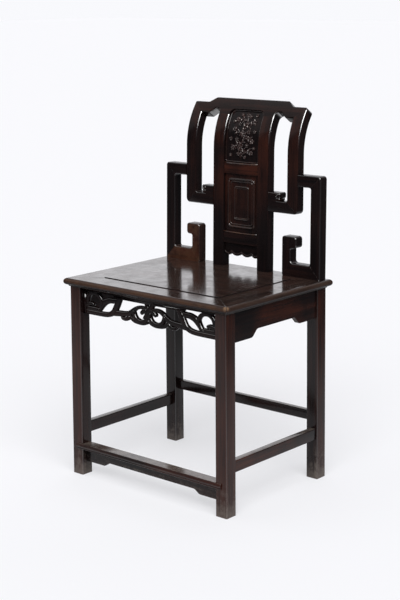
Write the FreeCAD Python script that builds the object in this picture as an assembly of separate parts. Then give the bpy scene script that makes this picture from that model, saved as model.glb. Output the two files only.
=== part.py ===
"""Carved hardwood side chair: square legs, framed seat, pierced front apron and a bent fret back.

Millimetres, +Z up, the front of the chair faces -Y, +X is the viewer's right. The origin is on the
floor, under the middle of the overall box.
"""
import FreeCAD, Part
import math
import os

V = FreeCAD.Vector

# Seat
SEAT_HEIGHT = 500.0
SEAT_WIDTH = 528.0
SEAT_DEPTH = 407.0
SEAT_THICK = 21.0
SEAT_OVERHANG = 12.0
LONG_RAIL = 65.0
SIDE_RAIL = 77.0
NOSE_BAND = 17.0
NOSE_SETBACK = 7.0
PANEL_THICK = 10.0
PANEL_TONGUE = 6.0
PANEL_GAP = 0.8
BATTEN_WIDTH = 28.0
BATTEN_HEIGHT = 15.0
BATTEN_SPREAD = 150.0

# Legs and the members between them
LEG = 34.0
LEG_EASE = 2.0
APRON_THICK = 14.0
APRON_INSET = 11.0
APRON_DROP = 66.0
APRON_STRIP = 14.0
SKIRT_THICK = 12.0
SKIRT_INSET = 5.5
SKIRT_DROP = 54.0
SKIRT_LUG_DROP = 18.0
SKIRT_LUG = 69.0
SKIRT_OGEE = 17.0
OGEE_ROUND = 14.0
FOOT_RAIL_BOTTOM = 67.0
FOOT_RAIL_HEIGHT = 14.0
FOOT_RAIL_PROUD = 5.0
FOOT_RAIL_DEPTH = 32.0
FOOT_RAIL_LAP = 18.0
FOOT_BEAD = 4.0
FOOT_APRON_INSET = 15.0
FOOT_APRON_THICK = 10.0
FOOT_APRON_DROP = 24.0
FOOT_LUG_DROP = 10.0
FOOT_LUG = 63.0
FOOT_OGEE = 15.0
SIDE_BAR_BOTTOM = 100.0
SIDE_BAR_HEIGHT = 29.0
SIDE_BAR_THICK = 18.0
SIDE_BAR_INSET = 5.0
REAR_BAR_BOTTOM = 142.0
REAR_BAR_HEIGHT = 25.0
REAR_BAR_THICK = 16.0
REAR_BAR_INSET = 5.0
BAR_EASE = 2.0

# Front apron carving
VOLUTE_INSET = 37.0
VOLUTE_RISE = 34.0
VOLUTE_RADIUS = 19.5
VOLUTE_STEM = 9.0
RING_PLACE = 25.0
RING_RISE = 23.0
RING_RADIUS = 18.0
RING_STEM = 10.0
VINE_STEM = 12.0
VINE_BOW = 2.0
DIAGONAL_INSET = 98.0
DIAGONAL_SLANT = 25.0
BUD_STEM = 6.0
DROP_BUD = 7.5

# Back: a leaning straight run that bends backwards near the top. Rises are above the seat
BACK_HEIGHT = 430.0
BACK_INSET = 40.0
BACK_DEPTH = 25.0
BACK_EASE = 2.5
BEND_RADIUS = 190.0
LEAN_DEGREES = 0.95
TOP_DEGREES = 43.2

# Lower fret, each side. HOOK_SHARE is the share of the free width that lies inside the hook
POST_WIDTH = 31.0
ARM_RISE = 255.0
ARM_HEIGHT = 30.0
BASE_HEIGHT = 33.0
HOOK_SHARE = 0.433
HOOK_WIDTH = 27.0
HOOK_RISE = 100.0
HOOK_TIP_HEIGHT = 29.0
HOOK_TIP_REACH = 18.0
HEEL_SINK = 3.0
FRET_ROUND = 8.0
INNER_ROUND = 5.0

# Upper fret, each side. UPRIGHT_SHARE is the share of the free width that lies inside the upright,
# KNOB_SHARE how much of that gap the knob spans, and NOTCH_SHARE how much of the knob its notch takes
UPRIGHT_WIDTH = 33.5
UPRIGHT_SHARE = 0.6
FOOT_RISE = 155.0
FOOT_HEIGHT = 29.0
FOOT_ROUND = 12.0
KNOB_SHARE = 0.65
KNOB_HEIGHT = 15.0
KNOB_NOTCH = 6.0
NOTCH_SHARE = 0.29
KNOB_ROUND = 5.0

# Crest. Drops are below its top edge
SHOULDER_DROP = 12.0
SHOULDER_ROUND = 12.0
CREST_RAISED = 234.0
CREST_OGEE = 19.0
UNDER_END_DROP = 39.0
UNDER_MID_DROP = 26.0
UNDER_STEP = 16.0
UNDER_OGEE = 18.0
CREST_ROUND = 9.0
STILE_BOSS = 16.0
BOSS_ROUND = 14.0

# Splat
SPLAT_WIDTH = 180.0
STILE_WIDTH = 35.0
MID_RAIL_RISE = 241.0
MID_RAIL_HEIGHT = 28.0
LOW_RAIL_RISE = 62.0
LOW_RAIL_HEIGHT = 29.0
RAIL_SETBACK = 3.0
RAIL_THICK = 18.0
PANEL_SETBACK = 8.0
SPLAT_PANEL_THICK = 8.0
SPLAT_TONGUE = 4.0
SPLAT_TONGUE_THICK = 4.0
BEAD_FRAME_MARGIN = 12.0
BEAD_FRAME_WIDTH = 5.0
BEAD_FRAME_PROUD = 3.0
BEAD_FRAME_ROUND = 7.0
FIELD_MARGIN = 33.0
FIELD_WIDTH = 4.0
FIELD_PROUD = 2.0
SCALLOP_DROP = 26.0
SCALLOP_SAG = 7.0
SCALLOP_HALF_LOBE = 22.0

# Joinery
FIT = 0.15
TENON = 12.0
TENON_ROOT = 2.0
SHORT_TENON = 7.0
LEG_TENON = 9.0
LEG_TENON_LONG = 14.0
LEG_TENON_SHORT = 10.0
LEG_TENON_SPREAD = 9.0
MITRE_TONGUE = 6.0
MITRE_TONGUE_LONG = 22.0

# Room for cutting shapes past the work, and how near a point on an edge counts as on a face
OVERCUT = 12.0
MARGIN = 40.0
FAR = 600.0
NEAR = 0.05

# Places worked out from the sizes above
chair_top = SEAT_HEIGHT + BACK_HEIGHT
lean_angle = math.radians(LEAN_DEGREES)
top_angle = math.radians(TOP_DEGREES)
bend_centre_up = chair_top - BEND_RADIUS * math.sin(top_angle)
bend_start = bend_centre_up + BEND_RADIUS * math.sin(lean_angle)
bend_centre_back = (bend_start - SEAT_HEIGHT) * math.tan(lean_angle) + BEND_RADIUS * math.cos(lean_angle)
shoulder_top = chair_top - SHOULDER_DROP
under_end = chair_top - UNDER_END_DROP
under_mid = chair_top - UNDER_MID_DROP
crest_angle = math.asin(((shoulder_top + under_end) / 2 - bend_centre_up) / BEND_RADIUS)
rear_radius = BEND_RADIUS - BACK_DEPTH
rear_angle = crest_angle + math.asin(BEND_RADIUS * math.sin(top_angle - crest_angle) / rear_radius)
back_reach = bend_centre_back - rear_radius * math.cos(rear_angle)
overall_depth = SEAT_DEPTH - BACK_INSET + max(back_reach, BACK_INSET)

seat_front = -overall_depth / 2
seat_rear = seat_front + SEAT_DEPTH
seat_middle = (seat_front + seat_rear) / 2
seat_under = SEAT_HEIGHT - SEAT_THICK
leg_front = seat_front + SEAT_OVERHANG
leg_rear = seat_rear - SEAT_OVERHANG
leg_side = SEAT_WIDTH / 2 - SEAT_OVERHANG
leg_gap = leg_side - LEG

back_front = seat_rear - BACK_INSET
bend_centre = V(0, back_front + bend_centre_back, bend_centre_up)
stile_outer = SPLAT_WIDTH / 2
stile_inner = stile_outer - STILE_WIDTH
post_side = leg_side
post_inner = post_side - POST_WIDTH
free_width = post_inner - stile_outer
upright_inner = stile_outer + UPRIGHT_SHARE * (free_width - UPRIGHT_WIDTH)
upright_outer = upright_inner + UPRIGHT_WIDTH
hook_inner = stile_outer + HOOK_SHARE * (free_width - HOOK_WIDTH)
hook_outer = hook_inner + HOOK_WIDTH

base_top = SEAT_HEIGHT + BASE_HEIGHT
hook_top = SEAT_HEIGHT + HOOK_RISE
arm_top = SEAT_HEIGHT + ARM_RISE
arm_low = arm_top - ARM_HEIGHT
foot_low = SEAT_HEIGHT + FOOT_RISE
foot_top = foot_low + FOOT_HEIGHT
mid_rail_low = SEAT_HEIGHT + MID_RAIL_RISE
mid_rail_top = mid_rail_low + MID_RAIL_HEIGHT
low_rail_low = SEAT_HEIGHT + LOW_RAIL_RISE
low_rail_top = low_rail_low + LOW_RAIL_HEIGHT
scallop_edge = low_rail_low - SCALLOP_DROP

nodes = {}


# Small helpers

def box(x0, x1, y0, y1, z0, z1):
    return Part.makeBox(x1 - x0, y1 - y0, z1 - z0, V(x0, y0, z0))


def wire_of(corners):
    """Closed wire in the XZ plane through (x, z, corner radius) points."""
    points = [V(x, 0, z) for x, z, _ in corners]
    starts, ends, edges = [], [], []
    for i, (_, _, radius) in enumerate(corners):
        here = points[i]
        back = (points[i - 1] - here).normalize()
        ahead = (points[(i + 1) % len(points)] - here).normalize()
        half = back.getAngle(ahead) / 2
        run = radius / math.tan(half)
        starts.append(here + back * run)
        ends.append(here + ahead * run)
        if radius:
            inward = (back + ahead).normalize()
            middle = here + inward * (radius / math.sin(half) - radius)
            edges.append(Part.Arc(starts[-1], middle, ends[-1]).toShape())
        else:
            edges.append(None)
    chain = []
    for i, arc in enumerate(edges):
        if arc:
            chain.append(arc)
        chain.append(Part.makeLine(ends[i], starts[(i + 1) % len(edges)]))
    return Part.Wire(chain)


def prism(corners, y0, y1):
    face = Part.Face(wire_of(corners))
    face.translate(V(0, y0, 0))
    return face.extrude(V(0, y1 - y0, 0))


def mirrored(shape):
    return shape.mirror(V(0, 0, 0), V(1, 0, 0))


def both_sides(name, shape):
    nodes[name + "_right"] = shape
    nodes[name + "_left"] = mirrored(shape)


def join(tenon_node, mortise_node, limits):
    """Grow a tenon on one piece and cut its mortise, with the fit's clearance, in the other."""
    x0, x1, y0, y1, z0, z1 = limits
    nodes[tenon_node] = nodes[tenon_node].fuse(box(*limits)).removeSplitter()
    socket = box(x0 - FIT, x1 + FIT, y0 - FIT, y1 + FIT, z0 - FIT, z1 + FIT)
    nodes[mortise_node] = nodes[mortise_node].cut(socket)


def join_sides(tenon_node, mortise_node, limits, one_tenon=False, one_mortise=False):
    """The same joint on the right and, mirrored, on the left."""
    x0, x1, y0, y1, z0, z1 = limits
    right = tenon_node if one_tenon else tenon_node + "_right"
    left = tenon_node if one_tenon else tenon_node + "_left"
    right_home = mortise_node if one_mortise else mortise_node + "_right"
    left_home = mortise_node if one_mortise else mortise_node + "_left"
    join(right, right_home, limits)
    join(left, left_home, (-x1, -x0, y0, y1, z0, z1))


# Legs

def leg(y0):
    post = box(leg_gap, leg_side, y0, y0 + LEG, 0, seat_under)
    upright_edges = [e for e in post.Edges if abs(e.tangentAt(e.FirstParameter).z) > 0.9]
    return post.makeChamfer(LEG_EASE, upright_edges)


both_sides("leg_front", leg(leg_front))
both_sides("leg_rear", leg(leg_rear - LEG))


# Seat frame: four moulded rails, mitred at the corners

def seat_rail(width, length, across, beside):
    """Rail along X with its round nose and the cove under it towards -Y, mitred to the rails beside it."""
    nose = -across / 2
    behind_nose = nose + NOSE_SETBACK
    low_band = SEAT_HEIGHT - NOSE_BAND
    cove = low_band - seat_under
    cove_middle = cove * math.sqrt(0.5)

    def at(y, z):
        return V(-length / 2, y, z)

    inner = nose + width
    edges = [
        Part.makeLine(at(inner, seat_under), at(behind_nose + cove, seat_under)),
        Part.Arc(at(behind_nose + cove, seat_under), at(behind_nose + cove_middle, seat_under + cove_middle),
                 at(behind_nose, low_band)).toShape(),
        Part.Arc(at(behind_nose, low_band), at(nose, low_band + NOSE_BAND / 2),
                 at(behind_nose, SEAT_HEIGHT)).toShape(),
        Part.makeLine(at(behind_nose, SEAT_HEIGHT), at(inner, SEAT_HEIGHT)),
        Part.makeLine(at(inner, SEAT_HEIGHT), at(inner, seat_under)),
    ]
    bar = Part.Face(Part.Wire(edges)).extrude(V(length, 0, 0))
    end = length / 2
    plan = Part.makePolygon([V(-end, nose, 0), V(end, nose, 0), V(end - beside, inner, 0),
                             V(-end + beside, inner, 0), V(-end, nose, 0)])
    return bar.common(Part.Face(plan).extrude(V(0, 0, FAR)))


def seat_frame():
    long_rail = seat_rail(LONG_RAIL, SEAT_WIDTH, SEAT_DEPTH, SIDE_RAIL)
    side_rail = seat_rail(SIDE_RAIL, SEAT_DEPTH, SEAT_WIDTH, LONG_RAIL)
    turns = {"front": (long_rail, 0), "right": (side_rail, 90),
             "rear": (long_rail, 180), "left": (side_rail, 270)}
    for name, (rail, turn) in turns.items():
        placed = rail.copy()
        placed.rotate(V(0, 0, 0), V(0, 0, 1), turn)
        placed.translate(V(0, seat_middle, 0))
        nodes["seat_rail_" + name] = placed


open_half = SEAT_WIDTH / 2 - SIDE_RAIL
open_front = seat_front + LONG_RAIL
open_rear = seat_rear - LONG_RAIL
panel_under = SEAT_HEIGHT - PANEL_THICK
tongue_top = panel_under + PANEL_THICK / 2


def seat_panel():
    field = box(-open_half + PANEL_GAP, open_half - PANEL_GAP,
                open_front + PANEL_GAP, open_rear - PANEL_GAP, panel_under, SEAT_HEIGHT)
    reach = PANEL_TONGUE - FIT
    tongue = box(-open_half - reach, open_half + reach,
                 open_front - reach, open_rear + reach, panel_under, tongue_top)
    groove = box(-open_half - PANEL_TONGUE, open_half + PANEL_TONGUE,
                 open_front - PANEL_TONGUE, open_rear + PANEL_TONGUE,
                 panel_under, tongue_top + FIT)
    nodes["seat_panel"] = field.fuse(tongue).removeSplitter()
    for side in ("front", "rear", "left", "right"):
        nodes["seat_rail_" + side] = nodes["seat_rail_" + side].cut(groove)


def seat_battens():
    middle = BATTEN_SPREAD / 2
    half = BATTEN_WIDTH / 2
    batten = box(middle - half, middle + half, open_front, open_rear,
                 panel_under - BATTEN_HEIGHT, panel_under)
    both_sides("seat_batten", batten)
    low = seat_under + BATTEN_HEIGHT / 8
    high = panel_under - BATTEN_HEIGHT / 8
    for rail, y0, y1 in (("front", open_front - TENON, open_front + TENON),
                         ("rear", open_rear - TENON, open_rear + TENON)):
        join_sides("seat_batten", "seat_rail_" + rail,
                   (middle - half / 2, middle + half / 2, y0, y1, low, high), one_mortise=True)


def seat_corner_joints():
    """Long rails carry a tongue into each side rail; each leg has a long and a short tenon."""
    tongue_low = seat_under + SEAT_THICK / 3 - MITRE_TONGUE / 2
    for rail, y_in, sign in (("front", open_front, 1), ("rear", open_rear, -1)):
        near = y_in - sign * LONG_RAIL / 4
        y0, y1 = sorted((near, near + sign * LONG_RAIL / 6))
        x_start = open_half
        limits = (x_start - TENON_ROOT, x_start + MITRE_TONGUE_LONG, y0, y1,
                  tongue_low, tongue_low + MITRE_TONGUE)
        for side, place in (("right", limits),
                            ("left", (-limits[1], -limits[0]) + limits[2:])):
            join("seat_rail_" + rail, "seat_rail_" + side, place)


def leg_tenons():
    centre_x = leg_side - LEG / 2
    half = LEG_TENON / 2
    for end, centre_y, sign in (("front", leg_front + LEG / 2, 1), ("rear", leg_rear - LEG / 2, -1)):
        for offset, height, rail, shared in ((-LEG_TENON_SPREAD, LEG_TENON_LONG, end, True),
                                             (LEG_TENON_SPREAD, LEG_TENON_SHORT, "", False)):
            x = centre_x + offset
            y = centre_y + sign * offset
            limits = (x - half, x + half, y - half, y + half, seat_under - TENON_ROOT, seat_under + height)
            home = "seat_rail_" + rail if shared else "seat_rail"
            join_sides("leg_" + end, home, limits, one_mortise=shared)


# Boards and bars between the legs

def lugged_board(half, top, drop, lug_drop, lug, ogee, y0, y1):
    """Board along X between two legs whose lower edge steps down to a lug at each leg."""
    mid = top - drop
    low = mid - lug_drop
    side = [(half, low, 0), (half - lug, low, OGEE_ROUND), (half - lug - ogee, mid, OGEE_ROUND)]
    other = [(-x, z, r) for x, z, r in reversed(side)]
    return prism([(-half, top, 0), (half, top, 0)] + side + other, y0, y1)


def turned_to_side(board, inset):
    """Turn a board along X, centred on x=0 and y from 0, so that it runs along the right side."""
    placed = board.copy()
    placed.rotate(V(0, 0, 0), V(0, 0, 1), 90)
    placed.translate(V(leg_side - inset, (leg_front + leg_rear) / 2, 0))
    return placed


def skirts():
    half_side = (leg_rear - leg_front) / 2 - LEG
    side = lugged_board(half_side, seat_under, SKIRT_DROP, SKIRT_LUG_DROP, SKIRT_LUG, SKIRT_OGEE,
                        0, SKIRT_THICK)
    both_sides("side_apron", turned_to_side(side, SKIRT_INSET))
    y1 = leg_rear - SKIRT_INSET
    nodes["rear_apron"] = lugged_board(leg_gap, seat_under, SKIRT_DROP, SKIRT_LUG_DROP, SKIRT_LUG,
                                       SKIRT_OGEE, y1 - SKIRT_THICK, y1)
    low = seat_under - SKIRT_DROP
    high = low + SKIRT_DROP / 2
    x1 = leg_side - SKIRT_INSET - SKIRT_THICK / 4
    x0 = x1 - SKIRT_THICK / 2
    for end, shoulder, sign in (("front", leg_front + LEG, -1), ("rear", leg_rear - LEG, 1)):
        y0, y1 = sorted((shoulder - sign * TENON_ROOT, shoulder + sign * SHORT_TENON))
        join_sides("side_apron", "leg_" + end, (x0, x1, y0, y1, low, high))
    y1 = leg_rear - SKIRT_INSET - SKIRT_THICK / 4
    low = seat_under - SKIRT_DROP / 3
    join_sides("rear_apron", "leg_rear",
               (leg_gap - TENON_ROOT, leg_gap + SHORT_TENON, y1 - SKIRT_THICK / 2, y1,
                low, low + SKIRT_DROP / 4), one_tenon=True)


def foot_rail():
    front = leg_front - FOOT_RAIL_PROUD
    rear = front + FOOT_RAIL_DEPTH
    top = FOOT_RAIL_BOTTOM + FOOT_RAIL_HEIGHT
    band_low = FOOT_RAIL_BOTTOM + FOOT_BEAD
    step = FOOT_RAIL_PROUD / 3
    half = leg_gap + FOOT_RAIL_LAP

    def at(y, z):
        return V(-half, y, z)

    edges = [
        Part.makeLine(at(rear, FOOT_RAIL_BOTTOM), at(front + 2 * step, FOOT_RAIL_BOTTOM)),
        Part.Arc(at(front + 2 * step, FOOT_RAIL_BOTTOM), at(front + step, band_low - FOOT_BEAD / 2),
                 at(front + 2 * step, band_low)).toShape(),
        Part.makeLine(at(front + 2 * step, band_low), at(front + step, band_low)),
        Part.Arc(at(front + step, band_low), at(front, (band_low + top) / 2),
                 at(front + 2 * step, top)).toShape(),
        Part.makeLine(at(front + 2 * step, top), at(rear, top)),
        Part.makeLine(at(rear, top), at(rear, FOOT_RAIL_BOTTOM)),
    ]
    rail = Part.Face(Part.Wire(edges)).extrude(V(2 * half, 0, 0))
    for x0, x1 in ((leg_gap, FAR), (-FAR, -leg_gap)):
        rail = rail.cut(box(x0, x1, leg_front, FAR, 0, FAR))
    nodes["foot_rail"] = rail
    low = FOOT_RAIL_BOTTOM + FOOT_RAIL_HEIGHT / 4
    y0 = leg_front + LEG / 4
    join_sides("foot_rail", "leg_front",
               (leg_gap - TENON_ROOT, leg_gap + TENON, y0, y0 + LEG / 3, low, low + FOOT_RAIL_HEIGHT / 2),
               one_tenon=True)


def foot_apron():
    y0 = leg_front + FOOT_APRON_INSET
    y1 = y0 + FOOT_APRON_THICK
    nodes["foot_rail_apron"] = lugged_board(leg_gap, FOOT_RAIL_BOTTOM, FOOT_APRON_DROP, FOOT_LUG_DROP,
                                            FOOT_LUG, FOOT_OGEE, y0, y1)
    low = FOOT_RAIL_BOTTOM - FOOT_APRON_DROP
    quarter = FOOT_APRON_THICK / 4
    join_sides("foot_rail_apron", "leg_front",
               (leg_gap - TENON_ROOT, leg_gap + SHORT_TENON, y0 + quarter, y1 - quarter,
                low, low + FOOT_APRON_DROP / 2), one_tenon=True)


def eased_bar(half, y0, y1, z0, z1):
    bar = box(-half, half, y0, y1, z0, z1)
    long_edges = [e for e in bar.Edges if abs(e.tangentAt(e.FirstParameter).x) > 0.9]
    return bar.makeChamfer(BAR_EASE, long_edges)


def stretchers():
    half_side = (leg_rear - leg_front) / 2 - LEG
    top = SIDE_BAR_BOTTOM + SIDE_BAR_HEIGHT
    bar = eased_bar(half_side, 0, SIDE_BAR_THICK, SIDE_BAR_BOTTOM, top)
    both_sides("side_stretcher", turned_to_side(bar, SIDE_BAR_INSET))
    quarter = SIDE_BAR_HEIGHT / 4
    x1 = leg_side - SIDE_BAR_INSET - SIDE_BAR_THICK / 4
    for end, shoulder, sign in (("front", leg_front + LEG, -1), ("rear", leg_rear - LEG, 1)):
        y0, y1 = sorted((shoulder - sign * TENON_ROOT, shoulder + sign * TENON))
        join_sides("side_stretcher", "leg_" + end,
                   (x1 - SIDE_BAR_THICK / 2, x1, y0, y1, SIDE_BAR_BOTTOM + quarter, top - quarter))
    y1 = leg_rear - REAR_BAR_INSET
    rear_top = REAR_BAR_BOTTOM + REAR_BAR_HEIGHT
    nodes["rear_stretcher"] = eased_bar(leg_gap, y1 - REAR_BAR_THICK, y1, REAR_BAR_BOTTOM, rear_top)
    quarter = REAR_BAR_HEIGHT / 4
    inset = REAR_BAR_THICK / 4
    join_sides("rear_stretcher", "leg_rear",
               (leg_gap - TENON_ROOT, leg_gap + TENON, y1 - REAR_BAR_THICK + inset, y1 - inset,
                REAR_BAR_BOTTOM + quarter, rear_top - quarter), one_tenon=True)


# Pierced front apron: a top strip with scrolls and vine stems cut out below it

def blade(start, through, end, width):
    """Flat stem of even width along the arc through three (x, z) points, with round ends."""
    a, m, b = (V(x, 0, z) for x, z in (start, through, end))
    arc = Part.Arc(a, m, b).toShape()
    centre, radius = arc.Curve.Center, arc.Curve.Radius
    rims = []
    for r in (radius - width / 2, radius + width / 2):
        rims.append([centre + (p - centre).normalize() * r for p in (a, m, b)])
    inner, outer = rims
    cap_a = arc.tangentAt(arc.FirstParameter) * (-width / 2)
    cap_b = arc.tangentAt(arc.LastParameter) * (width / 2)
    edges = [
        Part.Arc(*outer).toShape(),
        Part.Arc(outer[2], b + cap_b, inner[2]).toShape(),
        Part.Arc(*reversed(inner)).toShape(),
        Part.Arc(inner[0], a + cap_a, outer[0]).toShape(),
    ]
    return Part.Face(Part.Wire(edges))


def disc(x, z, radius):
    return Part.Face(Part.Wire([Part.Circle(V(x, 0, z), V(0, 1, 0), radius).toShape()]))


def hoop(x, z, radius, width):
    return disc(x, z, radius + width / 2).cut(disc(x, z, radius - width / 2))


def plate(x0, x1, z0, z1):
    corners = [V(x0, 0, z0), V(x1, 0, z0), V(x1, 0, z1), V(x0, 0, z1), V(x0, 0, z0)]
    return Part.Face(Part.makePolygon(corners))


apron_low = seat_under - APRON_DROP
strip_low = seat_under - APRON_STRIP


def volute_faces(diagonal, foot):
    """The end scroll: upright and foot by the leg, a stem from the diagonal, the ring and its bud."""
    x = leg_gap - VOLUTE_INSET
    z = apron_low + VOLUTE_RISE
    r = VOLUTE_RADIUS
    return [
        plate(leg_gap - VINE_STEM, leg_gap, apron_low, seat_under),
        blade((leg_gap - VINE_STEM / 2, foot), ((leg_gap + diagonal) / 2, foot + VINE_BOW),
              (diagonal, foot + VINE_BOW / 2), VINE_STEM),
        blade((diagonal - VINE_STEM, z + BUD_STEM), ((diagonal + x - r) / 2, z + VOLUTE_STEM),
              (x - r, z - BUD_STEM), VINE_STEM - VINE_BOW),
        hoop(x, z, r, VOLUTE_STEM),
        blade((x + r, z - BUD_STEM), (x + r / 2, z - r / 2), (x + r / 3, z), BUD_STEM),
        plate(x + r, leg_gap, z - VOLUTE_STEM, z + VOLUTE_STEM),
    ]


def ring_faces(diagonal, foot):
    """The middle scroll: diagonal, vine with its drop bud, the ring and the bud inside it."""
    x = RING_PLACE
    z = apron_low + RING_RISE
    r = RING_RADIUS
    bud_x = (x + r + diagonal) / 2
    return [
        blade((diagonal, foot + VINE_BOW / 2), (diagonal - DIAGONAL_SLANT * 2 / 3, (foot + strip_low) / 2),
              (diagonal - DIAGONAL_SLANT, strip_low + VINE_STEM / 4), VINE_STEM),
        blade((diagonal - VINE_STEM * 2 / 3, foot + VINE_STEM * 2 / 3), (bud_x, foot + VINE_STEM),
              (x + r / 2, z + r), VINE_STEM),
        disc(bud_x, apron_low + DROP_BUD, DROP_BUD),
        hoop(x, z, r, RING_STEM),
        blade((x - r, z + r / 3), (x - r / 4, z + r / 2), (x + r / 5, z), BUD_STEM),
    ]


def scroll_faces():
    """Outlines of the carving: one half, mirrored, then the strip and the middle stem over both."""
    diagonal = leg_gap - DIAGONAL_INSET
    foot = apron_low + VINE_STEM / 2
    half = volute_faces(diagonal, foot) + ring_faces(diagonal, foot)
    faces = half + [mirrored(face) for face in half]
    faces.append(plate(-leg_gap, leg_gap, strip_low, seat_under))
    faces.append(blade((-BUD_STEM, apron_low + BUD_STEM), (BUD_STEM / 3, apron_low + RING_RISE),
                       (VINE_STEM, strip_low + BUD_STEM), VINE_STEM))
    return faces


def front_apron():
    y0 = leg_front + APRON_INSET
    stems = [face.extrude(V(0, APRON_THICK, 0)) for face in scroll_faces()]
    board = stems[0].multiFuse(stems[1:]).removeSplitter()
    board.translate(V(0, y0, 0))
    nodes["front_apron"] = board.Solids[0]
    quarter = APRON_THICK / 4
    join_sides("front_apron", "leg_front",
               (leg_gap - TENON_ROOT, leg_gap + SHORT_TENON, y0 + quarter, y0 + APRON_THICK - quarter,
                strip_low, seat_under - APRON_STRIP / 3), one_tenon=True)


# Back: every piece is an outline cut from one leaning slab that bends backwards near the top

def slab_point(angle, behind):
    """Point on the bend at a lean angle, a distance behind the front face."""
    radius = BEND_RADIUS - behind
    return bend_centre + V(0, -radius * math.cos(angle), radius * math.sin(angle))


def slab(front, rear, top=top_angle):
    """Bent slab between two distances behind the front face, wide enough for any outline."""
    middle = (lean_angle + top) / 2
    low_front = V(0, back_front + front / math.cos(lean_angle), SEAT_HEIGHT)
    low_rear = V(0, back_front + rear / math.cos(lean_angle), SEAT_HEIGHT)
    edges = [
        Part.makeLine(low_front, slab_point(lean_angle, front)),
        Part.Arc(*(slab_point(a, front) for a in (lean_angle, middle, top))).toShape(),
        Part.makeLine(slab_point(top, front), slab_point(top, rear)),
        Part.Arc(*(slab_point(a, rear) for a in (top, middle, lean_angle))).toShape(),
        Part.makeLine(slab_point(lean_angle, rear), low_rear),
        Part.makeLine(low_rear, low_front),
    ]
    face = Part.Face(Part.Wire(edges))
    face.translate(V(-SEAT_WIDTH, 0, 0))
    return face.extrude(V(2 * SEAT_WIDTH, 0, 0))


def lean_at(height):
    """How far back the straight run has leaned at a height."""
    return (height - SEAT_HEIGHT) * math.tan(lean_angle)


def behind_front(point):
    """How far a point of the back lies behind the slab's front face."""
    start = slab_point(lean_angle, 0)
    along = (point.y - start.y) * math.sin(lean_angle) + (point.z - start.z) * math.cos(lean_angle)
    if along < 0:
        return (point.y - start.y) * math.cos(lean_angle) - (point.z - start.z) * math.sin(lean_angle)
    return BEND_RADIUS - math.hypot(point.y - bend_centre.y, point.z - bend_centre.z)


def soften(shape, keep):
    """Ease the edges of a back piece where its sides meet its front face; rear edges stay crisp."""
    chosen = []
    for edge in shape.Edges:
        first, last = edge.FirstParameter, edge.LastParameter
        points = [edge.valueAt(p) for p in (first, (first + last) / 2, last)]
        on_front = all(abs(behind_front(p)) < NEAR for p in points)
        level = all(abs(edge.tangentAt(p).x) > 1 - NEAR for p in (first, last))
        seam = level and abs(points[1].z - slab_point(lean_angle, 0).z) < NEAR
        if on_front and not seam and keep(points[1]):
            chosen.append(edge)
    return shape.makeChamfer(BACK_EASE, chosen)


def square_to_back(face):
    """Extrude an outline drawn upright at y=0 so that it cuts square through the leaning back."""
    shape = face.copy()
    shape.translate(V(0, -FAR, -SEAT_HEIGHT))
    shape = shape.extrude(V(0, 2 * FAR, 0))
    shape.rotate(V(0, 0, 0), V(1, 0, 0), -LEAN_DEGREES)
    shape.translate(V(0, back_front, SEAT_HEIGHT))
    return shape


def through(corners):
    return square_to_back(Part.Face(wire_of(corners)))


def flat(half, z0, z1):
    return through([(-half, z0, 0), (half, z0, 0), (half, z1, 0), (-half, z1, 0)])


crest_origin = slab_point(top_angle, 0)


def lay_on_crest(shape):
    """Place a shape drawn upright about the origin square to the leaning crest, from its top edge."""
    shape.rotate(V(0, 0, 0), V(1, 0, 0), -math.degrees(crest_angle))
    shape.translate(crest_origin)
    return shape


def tilted(corners):
    """Prism of an outline in (x, up the crest's face) cut square through the leaning crest."""
    return lay_on_crest(prism(corners, -FAR, FAR))


def crest_up(height):
    """Distance up the crest's face, from its top edge, of the front face point at a height."""
    point = slab_point(math.asin((height - bend_centre.z) / BEND_RADIUS), 0) - crest_origin
    return point.y * math.sin(crest_angle) + point.z * math.cos(crest_angle)


def stretch(inner, outer):
    """Ends of the line through two outline points, lengthened both ways."""
    dx, dz = outer[0] - inner[0], outer[1] - inner[1]
    scale = OVERCUT / math.hypot(dx, dz)
    return ((inner[0] - dx * scale, inner[1] - dz * scale, 0),
            (outer[0] + dx * scale, outer[1] + dz * scale, 0))


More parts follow.
